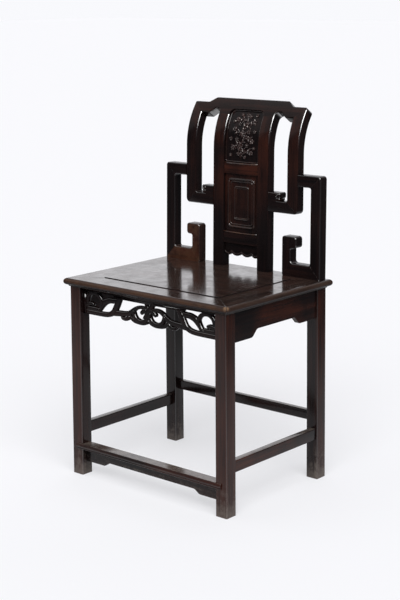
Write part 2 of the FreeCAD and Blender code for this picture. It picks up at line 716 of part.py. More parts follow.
def lower_fret():
    """Post, arm, base rail and hook: one rounded outline, then parted at its mitres."""
    tip_low = hook_top - HOOK_TIP_HEIGHT
    tip_end = hook_outer + HOOK_TIP_REACH
    below = SEAT_HEIGHT - HEEL_SINK
    outline = [
        (post_side, below, 0), (post_side, arm_top, FRET_ROUND), (upright_outer, arm_top, 0),
        (upright_outer, arm_low, 0), (post_inner, arm_low, INNER_ROUND),
        (post_inner, base_top, INNER_ROUND), (hook_outer, base_top, FRET_ROUND),
        (hook_outer, tip_low, INNER_ROUND), (tip_end, tip_low, FRET_ROUND),
        (tip_end, hook_top, FRET_ROUND), (hook_inner, hook_top, FRET_ROUND),
        (hook_inner, below, FRET_ROUND),
    ]
    whole = through(outline).common(slab(0, BACK_DEPTH))
    whole = soften(whole, lambda p: p.z > SEAT_HEIGHT + NEAR and abs(p.x - upright_outer) > NEAR)
    arm_in, arm_out = stretch((post_inner, arm_low), (post_side, arm_top))
    base_in, base_out = stretch((post_inner, base_top), (post_side, SEAT_HEIGHT))
    hook_in, hook_out = stretch((hook_outer, base_top), (hook_inner, SEAT_HEIGHT))
    inside = hook_inner - MARGIN
    outside = post_side + MARGIN
    above = hook_top + MARGIN
    mid_gap = (tip_end + post_inner) / 2
    arm = [arm_in, arm_out, (upright_inner, arm_top + MARGIN, 0), (upright_inner, arm_in[1], 0)]
    post = [arm_in, arm_out, (outside, arm_out[1], 0), (outside, base_out[1], 0), base_out, base_in]
    base = [base_in, base_out, hook_out, hook_in]
    hook = [hook_in, hook_out, (inside, hook_out[1], 0), (inside, above, 0),
            (mid_gap, above, 0), (mid_gap, hook_in[1], 0)]
    for name, cutter in (("back_arm", arm), ("back_post", post), ("base_rail", base), ("base_hook", hook)):
        both_sides(name, whole.common(through(cutter)))


def crest_mitre():
    """Mitre line between crest and upright, in the crest's tilted outline plane."""
    return stretch((upright_inner, crest_up(under_end)), (upright_outer, crest_up(shoulder_top)))


def crest_corner():
    """Waste outside the round outer corner of crest and upright."""
    top = crest_up(shoulder_top)
    r = CREST_ROUND
    centre = (upright_outer - r, top - r)
    square = prism([(centre[0], centre[1], 0), (upright_outer + MARGIN, centre[1], 0),
                    (upright_outer + MARGIN, top + MARGIN, 0), (centre[0], top + MARGIN, 0)], -FAR, FAR)
    round_bar = Part.makeCylinder(r, 2 * FAR, V(centre[0], -FAR, centre[1]), V(0, 1, 0))
    return lay_on_crest(square.cut(round_bar))


def upper_fret():
    """Upright and its foot with the upturned knob, parted at the lower mitre."""
    knob_reach = KNOB_SHARE * (upright_inner - stile_outer)
    knob_end = stile_outer + knob_reach
    knob_low = foot_top + KNOB_NOTCH
    knob_top = knob_low + KNOB_HEIGHT
    notch_end = knob_end - NOTCH_SHARE * knob_reach
    above = chair_top + MARGIN
    outline = [
        (upright_outer, above, 0), (upright_outer, foot_low, FOOT_ROUND), (stile_outer, foot_low, 0),
        (stile_outer, knob_top, 0), (knob_end, knob_top, KNOB_ROUND), (knob_end, knob_low, KNOB_ROUND),
        (notch_end, knob_low, 0), (notch_end, foot_top, 0),
        (upright_inner, foot_top, INNER_ROUND), (upright_inner, above, 0),
    ]
    whole = through(outline).common(slab(0, BACK_DEPTH))
    whole = soften(whole, lambda p: abs(p.x - stile_outer) > NEAR and p.z < shoulder_top)
    inner, outer = crest_mitre()
    whole = whole.cut(tilted([inner, outer, (outer[0], FAR, 0), (inner[0], FAR, 0)])).cut(crest_corner())
    foot_in, foot_out = stretch((upright_inner, foot_top), (upright_outer, foot_low))
    inside = stile_outer - MARGIN
    foot = through([foot_in, foot_out, (inside, foot_out[1], 0), (inside, knob_top + OVERCUT, 0),
                    (foot_in[0], knob_top + OVERCUT, 0)])
    both_sides("upright_foot", whole.common(foot))
    both_sides("back_upright", whole.cut(foot))


def crest_outline(top):
    """Crest outline up to a top level: bosses over the stiles, a stepped under edge, a raised middle."""
    shoulder = crest_up(shoulder_top)
    middle = crest_up(under_mid)
    end = crest_up(under_end)
    boss = middle - STILE_BOSS
    step = stile_outer + UNDER_STEP
    raised = CREST_RAISED / 2
    right = [
        (stile_inner, middle, BOSS_ROUND), (stile_inner, boss, 0), (stile_outer, boss, 0),
        (stile_outer, middle, BOSS_ROUND), (step, middle, CREST_ROUND / 2),
        (step + UNDER_OGEE, end, CREST_ROUND), (upright_outer, end, 0), (upright_outer, shoulder, 0),
        (raised + CREST_OGEE, shoulder, SHOULDER_ROUND), (raised, top, CREST_ROUND),
    ]
    left = [(-x, z, r) for x, z, r in reversed(right)]
    return right + left


def crest():
    quarter_turn = math.pi / 2
    whole = tilted(crest_outline(0)).common(slab(0, BACK_DEPTH, quarter_turn))
    boss = stile_outer + BOSS_ROUND
    whole = soften(whole, lambda p: abs(p.x) > boss or p.z > shoulder_top)
    inner, outer = crest_mitre()
    outside = outer[0] + MARGIN
    below = [inner, outer, (outside, outer[1], 0), (outside, -FAR, 0), (inner[0], -FAR, 0)]
    for waste in (tilted(below), crest_corner()):
        whole = whole.cut(waste).cut(mirrored(waste))
    nodes["crest_rail"] = whole


def splat_frame():
    below = SEAT_HEIGHT - HEEL_SINK
    above = chair_top + MARGIN
    stile = through([(stile_inner, below, 0), (stile_outer, below, 0),
                     (stile_outer, above, 0), (stile_inner, above, 0)]).common(slab(0, BACK_DEPTH))
    stile = soften(stile, lambda p: SEAT_HEIGHT + NEAR < p.z < chair_top - STILE_BOSS)
    both_sides("splat_stile", stile.cut(tilted(crest_outline(FAR))))
    rail_slab = slab(RAIL_SETBACK, RAIL_SETBACK + RAIL_THICK)
    nodes["splat_mid_rail"] = flat(stile_inner, mid_rail_low, mid_rail_top).common(rail_slab)
    nodes["splat_low_rail"] = flat(stile_inner, low_rail_low, low_rail_top).common(rail_slab)


def tongued_panel(name, z0, z1, tongue_top, neighbours):
    """Thin panel between the stiles, held by a tongue in grooves of its neighbours."""
    tongue_front = PANEL_SETBACK + (SPLAT_PANEL_THICK - SPLAT_TONGUE_THICK) / 2
    tongue_rear = tongue_front + SPLAT_TONGUE_THICK
    body = flat(stile_inner, z0, z1).common(slab(PANEL_SETBACK, PANEL_SETBACK + SPLAT_PANEL_THICK))
    body = body.cut(tilted(crest_outline(FAR)))
    reach = SPLAT_TONGUE - FIT
    tongue = flat(stile_inner + reach, z0 - reach, tongue_top).common(slab(tongue_front, tongue_rear))
    groove = flat(stile_inner + SPLAT_TONGUE, z0 - SPLAT_TONGUE, tongue_top + FIT).common(
        slab(tongue_front - FIT, tongue_rear + FIT))
    nodes[name] = body.fuse(tongue).removeSplitter()
    for neighbour in neighbours + ["splat_stile_left", "splat_stile_right"]:
        nodes[neighbour] = nodes[neighbour].cut(groove)


def rounded_frame(margin, width, radius):
    """Raised frame lines of the lower panel, a margin in from its edges."""
    def outline(inset, corner):
        half = stile_inner - inset
        z0, z1 = low_rail_top + inset, mid_rail_low - inset
        return through([(-half, z0, corner), (half, z0, corner), (half, z1, corner), (-half, z1, corner)])

    return outline(margin, radius).cut(outline(margin + width, radius / 2))


def splat_panels():
    tongued_panel("splat_lower_panel", low_rail_top, mid_rail_low, mid_rail_low + SPLAT_TONGUE - FIT,
                  ["splat_mid_rail", "splat_low_rail"])
    tongued_panel("splat_carved_panel", mid_rail_top, chair_top, under_mid, ["splat_mid_rail", "crest_rail"])
    panel = nodes["splat_lower_panel"]
    for margin, width, proud, radius in (
            (BEAD_FRAME_MARGIN, BEAD_FRAME_WIDTH, BEAD_FRAME_PROUD, BEAD_FRAME_ROUND),
            (FIELD_MARGIN, FIELD_WIDTH, FIELD_PROUD, BEAD_FRAME_ROUND / 2)):
        root = PANEL_SETBACK + SPLAT_PANEL_THICK / 2
        panel = panel.fuse(rounded_frame(margin, width, radius).common(slab(PANEL_SETBACK - proud, root)))
    nodes["splat_lower_panel"] = panel.removeSplitter()


def splat_apron():
    """Small scalloped board below the low rail: whole lobes beside the middle, half lobes at the stiles."""
    lobe = stile_inner - SCALLOP_HALF_LOBE
    stops = [-stile_inner, -lobe, 0.0, lobe, stile_inner]
    edge = V(0, 0, scallop_edge)
    edges = [Part.Arc(edge + V(a, 0, 0), edge + V((a + b) / 2, 0, -SCALLOP_SAG), edge + V(b, 0, 0)).toShape()
             for a, b in zip(stops, stops[1:])]
    corners = [V(stops[-1], 0, scallop_edge), V(stops[-1], 0, low_rail_low),
               V(stops[0], 0, low_rail_low), V(stops[0], 0, scallop_edge)]
    edges += [Part.makeLine(a, b) for a, b in zip(corners, corners[1:])]
    board = square_to_back(Part.Face(Part.Wire(edges)))
    nodes["splat_apron"] = board.common(slab(PANEL_SETBACK, PANEL_SETBACK + SPLAT_PANEL_THICK))
    quarter = SPLAT_PANEL_THICK / 4
    y0 = back_front + PANEL_SETBACK + quarter + lean_at(scallop_edge)
    join_sides("splat_apron", "splat_stile",
               (stile_inner - TENON_ROOT, stile_inner + SHORT_TENON, y0, y0 + 2 * quarter,
                scallop_edge + SCALLOP_DROP / 4, low_rail_low - SCALLOP_DROP / 4), one_tenon=True)


def back_joints():
    """Tenons of the back: into the seat's rear rail, and between stiles, rails, feet and arms."""
    third = BACK_DEPTH / 3
    y0 = back_front + third
    y1 = y0 + third
    seat_deep = (SEAT_HEIGHT - TENON, SEAT_HEIGHT + TENON_ROOT)
    inset = STILE_WIDTH / 4
    base_middle = (hook_outer + post_inner) / 2
    join_sides("splat_stile", "seat_rail_rear",
               (stile_inner + inset, stile_outer - inset, y0, y1) + seat_deep, one_mortise=True)
    join_sides("base_rail", "seat_rail_rear",
               (base_middle - inset, base_middle + inset, y0, y1) + seat_deep, one_mortise=True)
    for name, home, x0, x1, low, high in (
            ("splat_mid_rail", "splat_stile", stile_inner - TENON_ROOT, stile_inner + TENON,
             mid_rail_low, mid_rail_top),
            ("splat_low_rail", "splat_stile", stile_inner - TENON_ROOT, stile_inner + TENON,
             low_rail_low, low_rail_top),
            ("upright_foot", "splat_stile", stile_outer - TENON, stile_outer + TENON_ROOT,
             foot_low, foot_top),
            ("back_arm", "back_upright", upright_outer - TENON, upright_outer + TENON_ROOT,
             arm_low, arm_top)):
        lean = lean_at(low)
        quarter = (high - low) / 4
        join_sides(name, home, (x0, x1, y0 + lean, y1 + lean, low + quarter, high - quarter),
                   one_tenon=name.endswith("rail"))
    mitre_tongues(y0, y1)


def mitre_tongues(y0, y1):
    """A level tongue across each mitre of the fret, and an upright one into the crest."""
    half = MITRE_TONGUE / 2
    post_middle = post_side - POST_WIDTH / 2
    hook_middle = hook_inner + HOOK_WIDTH / 2
    upright_middle = upright_outer - UPRIGHT_WIDTH / 2
    for name, home, x0, x1, low, high in (
            ("back_arm", "back_post", post_middle - TENON, post_middle + half, arm_low, arm_top),
            ("base_rail", "back_post", post_middle - TENON, post_middle + half, SEAT_HEIGHT, base_top),
            ("base_rail", "base_hook", hook_middle - half, hook_middle + TENON, SEAT_HEIGHT, base_top),
            ("upright_foot", "back_upright", upright_middle - TENON, upright_middle + half,
             foot_low, foot_top)):
        lean = lean_at(low)
        centre = (low + high) / 2
        join_sides(name, home, (x0, x1, y0 + lean, y1 + lean, centre - half, centre + half))
    crest_tenon("back_upright", upright_middle, under_end)
    crest_tenon("splat_stile", (stile_inner + stile_outer) / 2, under_mid - STILE_BOSS)


def crest_tenon(name, x, height):
    """Tenon up into the crest, in line with the leaning face at a height."""
    angle = math.asin((height - bend_centre.z) / BEND_RADIUS)
    centre = slab_point(angle, BACK_DEPTH / 2)

    def peg(grow):
        half_x, half_y, half_z = MITRE_TONGUE + grow, BACK_DEPTH / 6 + grow, TENON * 3 / 4 + grow
        shape = box(-half_x, half_x, -half_y, half_y, -half_z, half_z)
        shape.rotate(V(0, 0, 0), V(1, 0, 0), -math.degrees(angle))
        shape.translate(V(x, centre.y, centre.z))
        return shape

    for side, turn in (("_right", lambda s: s), ("_left", mirrored)):
        nodes[name + side] = nodes[name + side].fuse(turn(peg(0))).removeSplitter()
        nodes["crest_rail"] = nodes["crest_rail"].cut(turn(peg(FIT)))


seat_frame()
seat_panel()
seat_battens()
seat_corner_joints()
leg_tenons()
skirts()
foot_rail()
foot_apron()
stretchers()
front_apron()
lower_fret()
upper_fret()
crest()
splat_frame()
splat_panels()
splat_apron()
back_joints()

os.makedirs("parts", exist_ok=True)
for node_name, node_shape in nodes.items():
    node_shape.exportStep("parts/" + node_name + ".step")
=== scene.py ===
from math import asin, atan2, cos, exp, hypot, pi, radians, sin, tan

import bmesh
import bpy
from mathutils import Matrix, Vector


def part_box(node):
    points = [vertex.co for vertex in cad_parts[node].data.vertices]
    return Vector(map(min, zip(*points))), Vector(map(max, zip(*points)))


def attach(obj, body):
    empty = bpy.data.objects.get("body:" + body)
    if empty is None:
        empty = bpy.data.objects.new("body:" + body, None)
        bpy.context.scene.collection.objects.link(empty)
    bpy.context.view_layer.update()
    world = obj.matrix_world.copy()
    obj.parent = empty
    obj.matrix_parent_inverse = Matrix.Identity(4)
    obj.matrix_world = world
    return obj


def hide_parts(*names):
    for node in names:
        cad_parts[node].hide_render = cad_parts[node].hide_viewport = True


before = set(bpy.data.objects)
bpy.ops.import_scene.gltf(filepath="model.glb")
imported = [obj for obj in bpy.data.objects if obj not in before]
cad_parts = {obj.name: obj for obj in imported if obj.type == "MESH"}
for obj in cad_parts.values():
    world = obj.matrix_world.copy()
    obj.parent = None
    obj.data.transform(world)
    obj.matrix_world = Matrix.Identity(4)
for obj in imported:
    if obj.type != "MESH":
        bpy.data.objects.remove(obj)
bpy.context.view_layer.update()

solids = [piece.name for piece in bpy.context.scene.objects if piece.type == "MESH"]
MM = 0.001
SIDES = ("left", "right")

# Camera, fitted to the edges of the chair in the photograph.
CAMERA_AZIMUTH = radians(40.98)
CAMERA_PITCH = radians(7.489)
CAMERA_ROLL = radians(-0.396)
CAMERA_PLACE = Vector((2.2584, -2.6056, 1.2110))
CAMERA_LENS = 85.12
CAMERA_SENSOR = 36
CAMERA_SHIFT = -0.21

# Colours of the wood, linear.
NEAR_BLACK = (0.0046, 0.0037, 0.0041)
DARK_BROWN = (0.0115, 0.0062, 0.0060)
RED_BROWN = (0.0480, 0.0140, 0.0085)
WORN_BROWN = (0.090, 0.045, 0.025)
SEAT_DARK = (0.0170, 0.0110, 0.0095)
SEAT_LIGHT = (0.0480, 0.0310, 0.0250)
DUSTY = (0.150, 0.125, 0.108)
# The next colour is a painted highlight: a bright spot on the seat nose's front right corner.
CORNER_HIGHLIGHT = (0.42, 0.25, 0.14)
# The next colour is a painted highlight: pale glints painted on fine carving.
GLINT_TONE = (0.80, 0.72, 0.67)

# Grain: how close its noise lies along and across the wood; then noises by scale, detail and roughness.
GRAIN_ALONG = 5.0
GRAIN_ACROSS = 95.0
STREAKS = (1.0, 6, 0.62)
CLOUD = (9.0, 4, 0.55)
FOOT_MOTTLE = (60.0, 5, 0.70)

# Patterns: a noise's scale, detail and roughness, and the values between which it is drawn.
PORES = (5.5, 3, 0.55, 0.60, 0.72)
PATCHY = (6.0, 3, 0.55, 0.36, 0.64)
EVEN = (6.0, 3, 0.55, 0.05, 0.55)
RUBS = (38.0, 5, 0.70, 0.36, 0.70)
NOSE_PATCHES = (22.0, 5, 0.65, 0.24, 0.60)
# The next pattern places painted highlights: pale glint specks on fine carving.
GLINT_DOTS = (260.0, 2, 0.60, 0.64, 0.69)
DUST_PATCHES = (30.0, 5, 0.70, 0.25, 0.70)
KNOCKS = (75.0, 4, 0.70, 0.42, 0.62)
SMEARS = (16.0, 5, 0.65, 0.30, 0.70)

# Streaks that are light, and streaks that are scuffed: where a share starts and where it is full.
LIGHT_STREAKS = (0.32, 0.70)
SCUFFED_STREAKS = (0.40, 0.66)

# Faces, by how far they look one way: where a share starts and where it is full.
# How far a face looks to a piece's lit side; the other faces are painted darker as shade.
SIDE_FACES = (0.45, 0.85)
TOPS = (0.90, 0.99)
DUSTY_TOPS = (0.80, 0.97)
UPPER_SIDES = (0.10, 0.45)
# The next share marks faces that look down, painted darker as shade on the seat's nose.
SHADED_UNDERSIDES = (0.0, -0.60)
# The nose's upper roll, whose rubbed brown is partly wear and partly painted highlight.
NOSE_BELOW = (0.95, 0.70)
NOSE_ABOVE = (-0.60, 0.10)
LIT_FACES = (-0.30, 0.40)
ARRIS_MORE = (0.47, 0.55)
ARRIS_LESS = (0.93, 0.85)
ARRIS_FRONT = (-0.30, -0.50)

# Heights and distances, metres: where a share starts and where it is full.
BEND_HEIGHTS = (0.81, 0.86)
FOOT_DUST_HEIGHTS = (0.012, -0.030)
SCUFF_HEIGHTS = (0.11, 0.01)
# How far the painted highlight at the seat's corner reaches.
CORNER_REACH = (0.009, 0.002)
DIM_FADE = (-0.08, 0.06)
FOOT_MOTTLE_HEIGHT = 0.06

# Shares: of one tone over another, of warmth on other faces (painted shade) and in dark streaks, and of
# gloss in smears.
PORE_DARKNESS = 0.55
# The nose's rubbed brown is partly wear and partly a painted highlight.
NOSE_WEAR_AND_LIGHT = 0.55
FOOT_DUST = 0.60
FOOT_SCUFFS = 0.65
OTHER_FACES = 0.25
LEAST_STREAK_WARMTH = 0.55
SMEAR_GLOSS = 0.60
LEAST_SMEAR_GLOSS = 0.35

# Surface of the wood: its index, roughness, shine and relief; the relief's depth is in metres.
WOOD_IOR = 1.32
PLAIN_POLISH = 0.14
CLOUD_ROUGHNESS = 0.06
PORE_ROUGHNESS = 0.08
UPPER_SHINE = 0.35
LEAST_SHINE = 0.15
STREAK_RELIEF = 0.6
RELIEF_STRENGTH = 0.10
RELIEF_DEPTH = 0.0004

# Easing of the solids' edges; lengths in metres.
EDGE_EASE = 0.0007
BACK_EASE = 0.00015
EASES = {"seat_panel": 0.0018}
BACK_KINDS = ("bent", "base", "back")
EDGE_STEPS = 2
EDGE_ANGLE = radians(60)
WELD_REACH = 0.0003
NORMAL_WEIGHT = 60

# Places on the solids, metres: the seat, the back's front face at the seat, its lean and its bend.
SEAT_TOP = 0.500
SEAT_UNDER = 0.479
# Where the painted highlight on the seat's nose is centred.
HIGHLIGHT_CORNER = (0.258, -0.2175, 0.4955)
BACK_FRONT = 0.144636
BACK_LEAN = radians(0.95)
BEND_PLACE = (0.339636, 0.799936)
BEND_RADIUS = 0.190

# Splat, metres: how far its panels and rails lie behind the back's front face, and the panels' edges.
PANEL_SETBACK = 0.008
RAIL_SETBACK = 0.003
PANEL_HALF = 0.055
CARVED_LOW = 0.769
CARVED_HIGH = 0.903
LOWER_LOW = 0.591
LOWER_HIGH = 0.741


def place_camera():
    data = bpy.data.cameras.new("camera")
    data.lens = CAMERA_LENS
    data.sensor_width = CAMERA_SENSOR
    data.shift_y = CAMERA_SHIFT
    away = Vector((
        sin(CAMERA_AZIMUTH) * cos(CAMERA_PITCH),
        -cos(CAMERA_AZIMUTH) * cos(CAMERA_PITCH),
        sin(CAMERA_PITCH),
    ))
    level = Vector((cos(CAMERA_AZIMUTH), sin(CAMERA_AZIMUTH), 0))
    upward = away.cross(level)
    across = level * cos(CAMERA_ROLL) + upward * sin(CAMERA_ROLL)
    upright = upward * cos(CAMERA_ROLL) - level * sin(CAMERA_ROLL)
    turn = Matrix((across, upright, away)).transposed().to_4x4()
    camera = bpy.data.objects.new("camera", data)
    camera.matrix_world = Matrix.Translation(CAMERA_PLACE) @ turn
    bpy.context.collection.objects.link(camera)
    bpy.context.scene.camera = camera


# Materials

# Sockets of a mix node that serve colours: its share and two colours, and its result.
MIX_INPUTS = (0, 6, 7)
MIX_RESULT = 2


class Nodes:
    """A node tree, with short calls for adding and joining nodes."""

    def __init__(self, tree):
        self.tree = tree
        tree.nodes.clear()

    def give(self, socket, value):
        if isinstance(value, bpy.types.NodeSocket):
            self.tree.links.new(value, socket)
        elif isinstance(value, tuple) and len(value) == 3 and socket.type == "RGBA":
            socket.default_value = (*value, 1)
        else:
            socket.default_value = value

    def add(self, kind, values=(), **settings):
        node = self.tree.nodes.new("ShaderNode" + kind)
        for name, value in settings.items():
            setattr(node, name, value)
        for name, value in dict(values).items():
            self.give(node.inputs[name], value)
        return node

    def maths(self, operation, first, second=0.0):
        return self.add("Math", {0: first, 1: second}, operation=operation).outputs[0]

    def measure(self, operation, first, second):
        """A number from two directions or places."""
        return self.add("VectorMath", {0: first, 1: second}, operation=operation).outputs["Value"]

    def product(self, first, *others):
        for other in others:
            first = self.maths("MULTIPLY", first, other)
        return first

    def ramp(self, value, low, high):
        values = {"Value": value, "From Min": low, "From Max": high}
        return self.add("MapRange", values, interpolation_type="SMOOTHSTEP").outputs["Result"]

    def blend(self, share, first, second):
        values = zip(MIX_INPUTS, (share, first, second))
        return self.add("Mix", values, data_type="RGBA").outputs[MIX_RESULT]

    def noise(self, place, scale, detail, roughness):
        values = {"Vector": place, "Scale": scale, "Detail": detail, "Roughness": roughness}
        return self.add("TexNoise", values).outputs["Fac"]

    def pattern(self, place, scale, detail, roughness, low, high):
        return self.ramp(self.noise(place, scale, detail, roughness), low, high)


class Grain:
    """What the looks of one wood start from: places, directions and the patterns of its grain."""

    def __init__(self, nodes, axis):
        stretch = [GRAIN_ACROSS] * 3
        stretch["XYZ".index(axis)] = GRAIN_ALONG
        self.place = nodes.add("TexCoord").outputs["Object"]
        run = nodes.add("Mapping", {"Vector": self.place, "Scale": stretch}).outputs["Vector"]
        shape = nodes.add("NewGeometry").outputs
        self.height = nodes.add("SeparateXYZ", {"Vector": self.place}).outputs["Z"]
        self.facing = nodes.add("SeparateXYZ", {"Vector": shape["Normal"]}).outputs
        self.slant = nodes.add("SeparateXYZ", {"Vector": shape["True Normal"]}).outputs
        self.streaks = nodes.noise(run, *STREAKS)
        self.pitted = nodes.pattern(run, *PORES)
        self.cloud = nodes.noise(self.place, *CLOUD)


def lit_side_share(nodes, grain, side):
    """1 on the faces of one side of the chair, painted as lit, and a smaller share on the others, painted as
    shade.
    """
    if side == "right":
        toward = grain.facing["X"]
    else:
        toward = nodes.product(grain.facing["Y"], -1.0)
    # Faces away from the lit side keep a smaller share: painted shade.
    share = nodes.product(nodes.ramp(toward, *SIDE_FACES), 1 - OTHER_FACES)
    return nodes.maths("ADD", share, OTHER_FACES)


def warm_share(nodes, grain, warmth, patches, dim_below, lit_face):
    """How red the wood is: in patches along the grain, in full on one lit side of a piece with painted shade
    on the others, and above a height.
    """
    patched = nodes.pattern(grain.place, *patches)
    along = nodes.maths("ADD", nodes.ramp(grain.streaks, *LIGHT_STREAKS), LEAST_STREAK_WARMTH)
    share = nodes.product(patched, along, warmth)
    # Painted shade: less warmth on the faces away from the lit side.
    if lit_face:
        share = nodes.product(share, lit_side_share(nodes, grain, lit_face))
    if dim_below:
        start, full = DIM_FADE
        share = nodes.product(share, nodes.ramp(grain.height, dim_below + start, dim_below + full))
    return share


def rub(nodes, grain, tone, wear, lit_face):
    share = nodes.product(nodes.pattern(grain.place, *RUBS), wear)
    # Painted shade: less wear on the faces away from the lit side.
    if lit_face:
        share = nodes.product(share, lit_side_share(nodes, grain, lit_face))
    return nodes.blend(share, tone, WORN_BROWN)


def nose_wear_and_light(nodes, grain, tone):
    """The seat's rolled edge: worn brown in front, partly as painted highlight; painted shade below; painted
    highlight at one corner.
    """
    level = grain.facing["Z"]
    patchy = nodes.pattern(grain.place, *NOSE_PATCHES)
    rolled = nodes.product(nodes.ramp(level, *NOSE_BELOW), nodes.ramp(level, *NOSE_ABOVE))
    # Rubbed brown on the upper roll in front: partly wear, partly painted highlight.
    worn_and_lit = nodes.product(rolled, patchy, lit_side_share(nodes, grain, "front"), NOSE_WEAR_AND_LIGHT)
    # A painted highlight round the nose's front right corner.
    away = nodes.measure("DISTANCE", grain.place, HIGHLIGHT_CORNER)
    corner = nodes.product(nodes.ramp(away, *CORNER_REACH), patchy)
    # Painted shade: faces that look down are darkened.
    tone = nodes.blend(nodes.ramp(level, *SHADED_UNDERSIDES), tone, DARK_BROWN)
    tone = nodes.blend(worn_and_lit, tone, WORN_BROWN)
    return nodes.blend(corner, tone, CORNER_HIGHLIGHT)


def paint_glints(nodes, grain, tone, glints):
    """Painted highlights: pale specks strewn by a noise over fine carving, standing in for glints."""
    return nodes.blend(nodes.product(nodes.pattern(grain.place, *GLINT_DOTS), glints), tone, GLINT_TONE)


def lay_dust(nodes, grain, tone, dust):
    """Dust on level faces."""
    level = nodes.ramp(grain.facing["Z"], *DUSTY_TOPS)
    share = nodes.product(nodes.pattern(grain.place, *DUST_PATCHES), level, dust)
    return nodes.blend(share, tone, DUSTY)


def scuff_feet(nodes, grain, tone):
    """Dust and knocks just above the floor."""
    mottle = nodes.product(nodes.noise(grain.place, *FOOT_MOTTLE), FOOT_MOTTLE_HEIGHT)
    dusty = nodes.ramp(nodes.maths("SUBTRACT", grain.height, mottle), *FOOT_DUST_HEIGHTS)
    tone = nodes.blend(nodes.product(dusty, FOOT_DUST), tone, DUSTY)
    streaks = nodes.ramp(grain.streaks, *SCUFFED_STREAKS)
    knocks = nodes.pattern(grain.place, *KNOCKS)
    low = nodes.ramp(grain.height, *SCUFF_HEIGHTS)
    return nodes.blend(nodes.product(streaks, knocks, low, FOOT_SCUFFS), tone, DUSTY)


def arris_share(nodes, grain, axes):
    """1 on the slanting front arrises across the named axes."""
    share = 0.0
    for axis in axes:
        lean = nodes.maths("ABSOLUTE", grain.slant[axis])
        slanting = nodes.product(nodes.ramp(lean, *ARRIS_MORE), nodes.ramp(lean, *ARRIS_LESS))
        share = nodes.maths("MAXIMUM", share, slanting)
    return nodes.product(share, nodes.ramp(grain.slant["Y"], *ARRIS_FRONT))


def gloss_share(nodes, grain, where):
    """Which faces are polished."""
    level = grain.facing["Z"]
    if where == "smeared tops":
        smears = nodes.product(nodes.pattern(grain.place, *SMEARS), SMEAR_GLOSS)
        return nodes.product(nodes.ramp(level, *TOPS), nodes.maths("ADD", smears, LEAST_SMEAR_GLOSS))
    if where == "tops":
        return nodes.ramp(level, *TOPS)
    if where == "upper sides":
        return nodes.ramp(level, *UPPER_SIDES)
    if where == "bend arris":
        return nodes.product(arris_share(nodes, grain, "X"), nodes.ramp(grain.height, *BEND_HEIGHTS))
    return arris_share(nodes, grain, "XZ")


def coat(nodes, grain, where, weight, roughness, index):
    """A coat of varnish on all faces or on the named ones."""
    share = weight
    if where != "all":
        share = nodes.product(gloss_share(nodes, grain, where), weight)
    return {"Coat Weight": share, "Coat Roughness": roughness, "Coat IOR": index}


def wood_tone(nodes, grain, warmth, wear=0.0, glints=0.0, dust=0.0, patches=PATCHY, dim_below=0.0,
              lit_face="", seat=False):
    """Colour of the wood.

    wear rubs it brown, below the height dim_below it loses its warmth, and one named side has its warmth and
    wear in full, while its other sides are painted darker as shade.
    """
    tones = (SEAT_DARK, SEAT_LIGHT) if seat else (NEAR_BLACK, DARK_BROWN)
    tone = nodes.blend(nodes.ramp(grain.streaks, *LIGHT_STREAKS), *tones)
    warm = warm_share(nodes, grain, warmth, patches, dim_below, lit_face)
    tone = nodes.blend(warm, tone, RED_BROWN)
    tone = nodes.blend(nodes.product(grain.pitted, PORE_DARKNESS), tone, NEAR_BLACK)
    if wear:
        tone = rub(nodes, grain, tone, wear, lit_face)
    # The seat's nose gets wear with painted highlights and painted shade.
    if seat:
        tone = nose_wear_and_light(nodes, grain, tone)
    # Painted highlights: pale glint specks on fine carving.
    if glints:
        tone = paint_glints(nodes, grain, tone, glints)
    if dust:
        tone = lay_dust(nodes, grain, tone, dust)
    return scuff_feet(nodes, grain, tone)


def wood_roughness(nodes, grain, polish):
    rough = nodes.maths("ADD", nodes.product(grain.cloud, CLOUD_ROUGHNESS), polish)
    return nodes.maths("ADD", rough, nodes.product(grain.pitted, PORE_ROUGHNESS))


def wood_relief(nodes, grain):
    rise = nodes.maths("SUBTRACT", nodes.product(grain.streaks, STREAK_RELIEF), grain.pitted)
    values = {"Strength": RELIEF_STRENGTH, "Distance": RELIEF_DEPTH, "Height": rise}
    return nodes.add("Bump", values).outputs["Normal"]


def wood_shine(nodes, grain):
    """Shine that fades on faces that look down."""
    lit = nodes.ramp(grain.facing["Z"], *LIT_FACES)
    return nodes.maths("ADD", nodes.product(lit, UPPER_SHINE), LEAST_SHINE)


def wood(name, axis, warmth, polish=PLAIN_POLISH, gloss=None, dull_under=False, **tones):
    """Dark hardwood whose grain runs along one axis of the chair; gloss is its coat, if it has one."""
    material = bpy.data.materials.new(name)
    material.use_nodes = True
    nodes = Nodes(material.node_tree)
    grain = Grain(nodes, axis)
    values = {
        "Base Color": wood_tone(nodes, grain, warmth, **tones),
        "Roughness": wood_roughness(nodes, grain, polish),
        "Normal": wood_relief(nodes, grain),
        "IOR": WOOD_IOR,
    }
    if gloss:
        values.update(coat(nodes, grain, *gloss))
    if dull_under:
        values["Specular IOR Level"] = wood_shine(nodes, grain)
    surface = nodes.add("BsdfPrincipled", values)
    nodes.add("OutputMaterial", {"Surface": surface.outputs[0]})
    return material


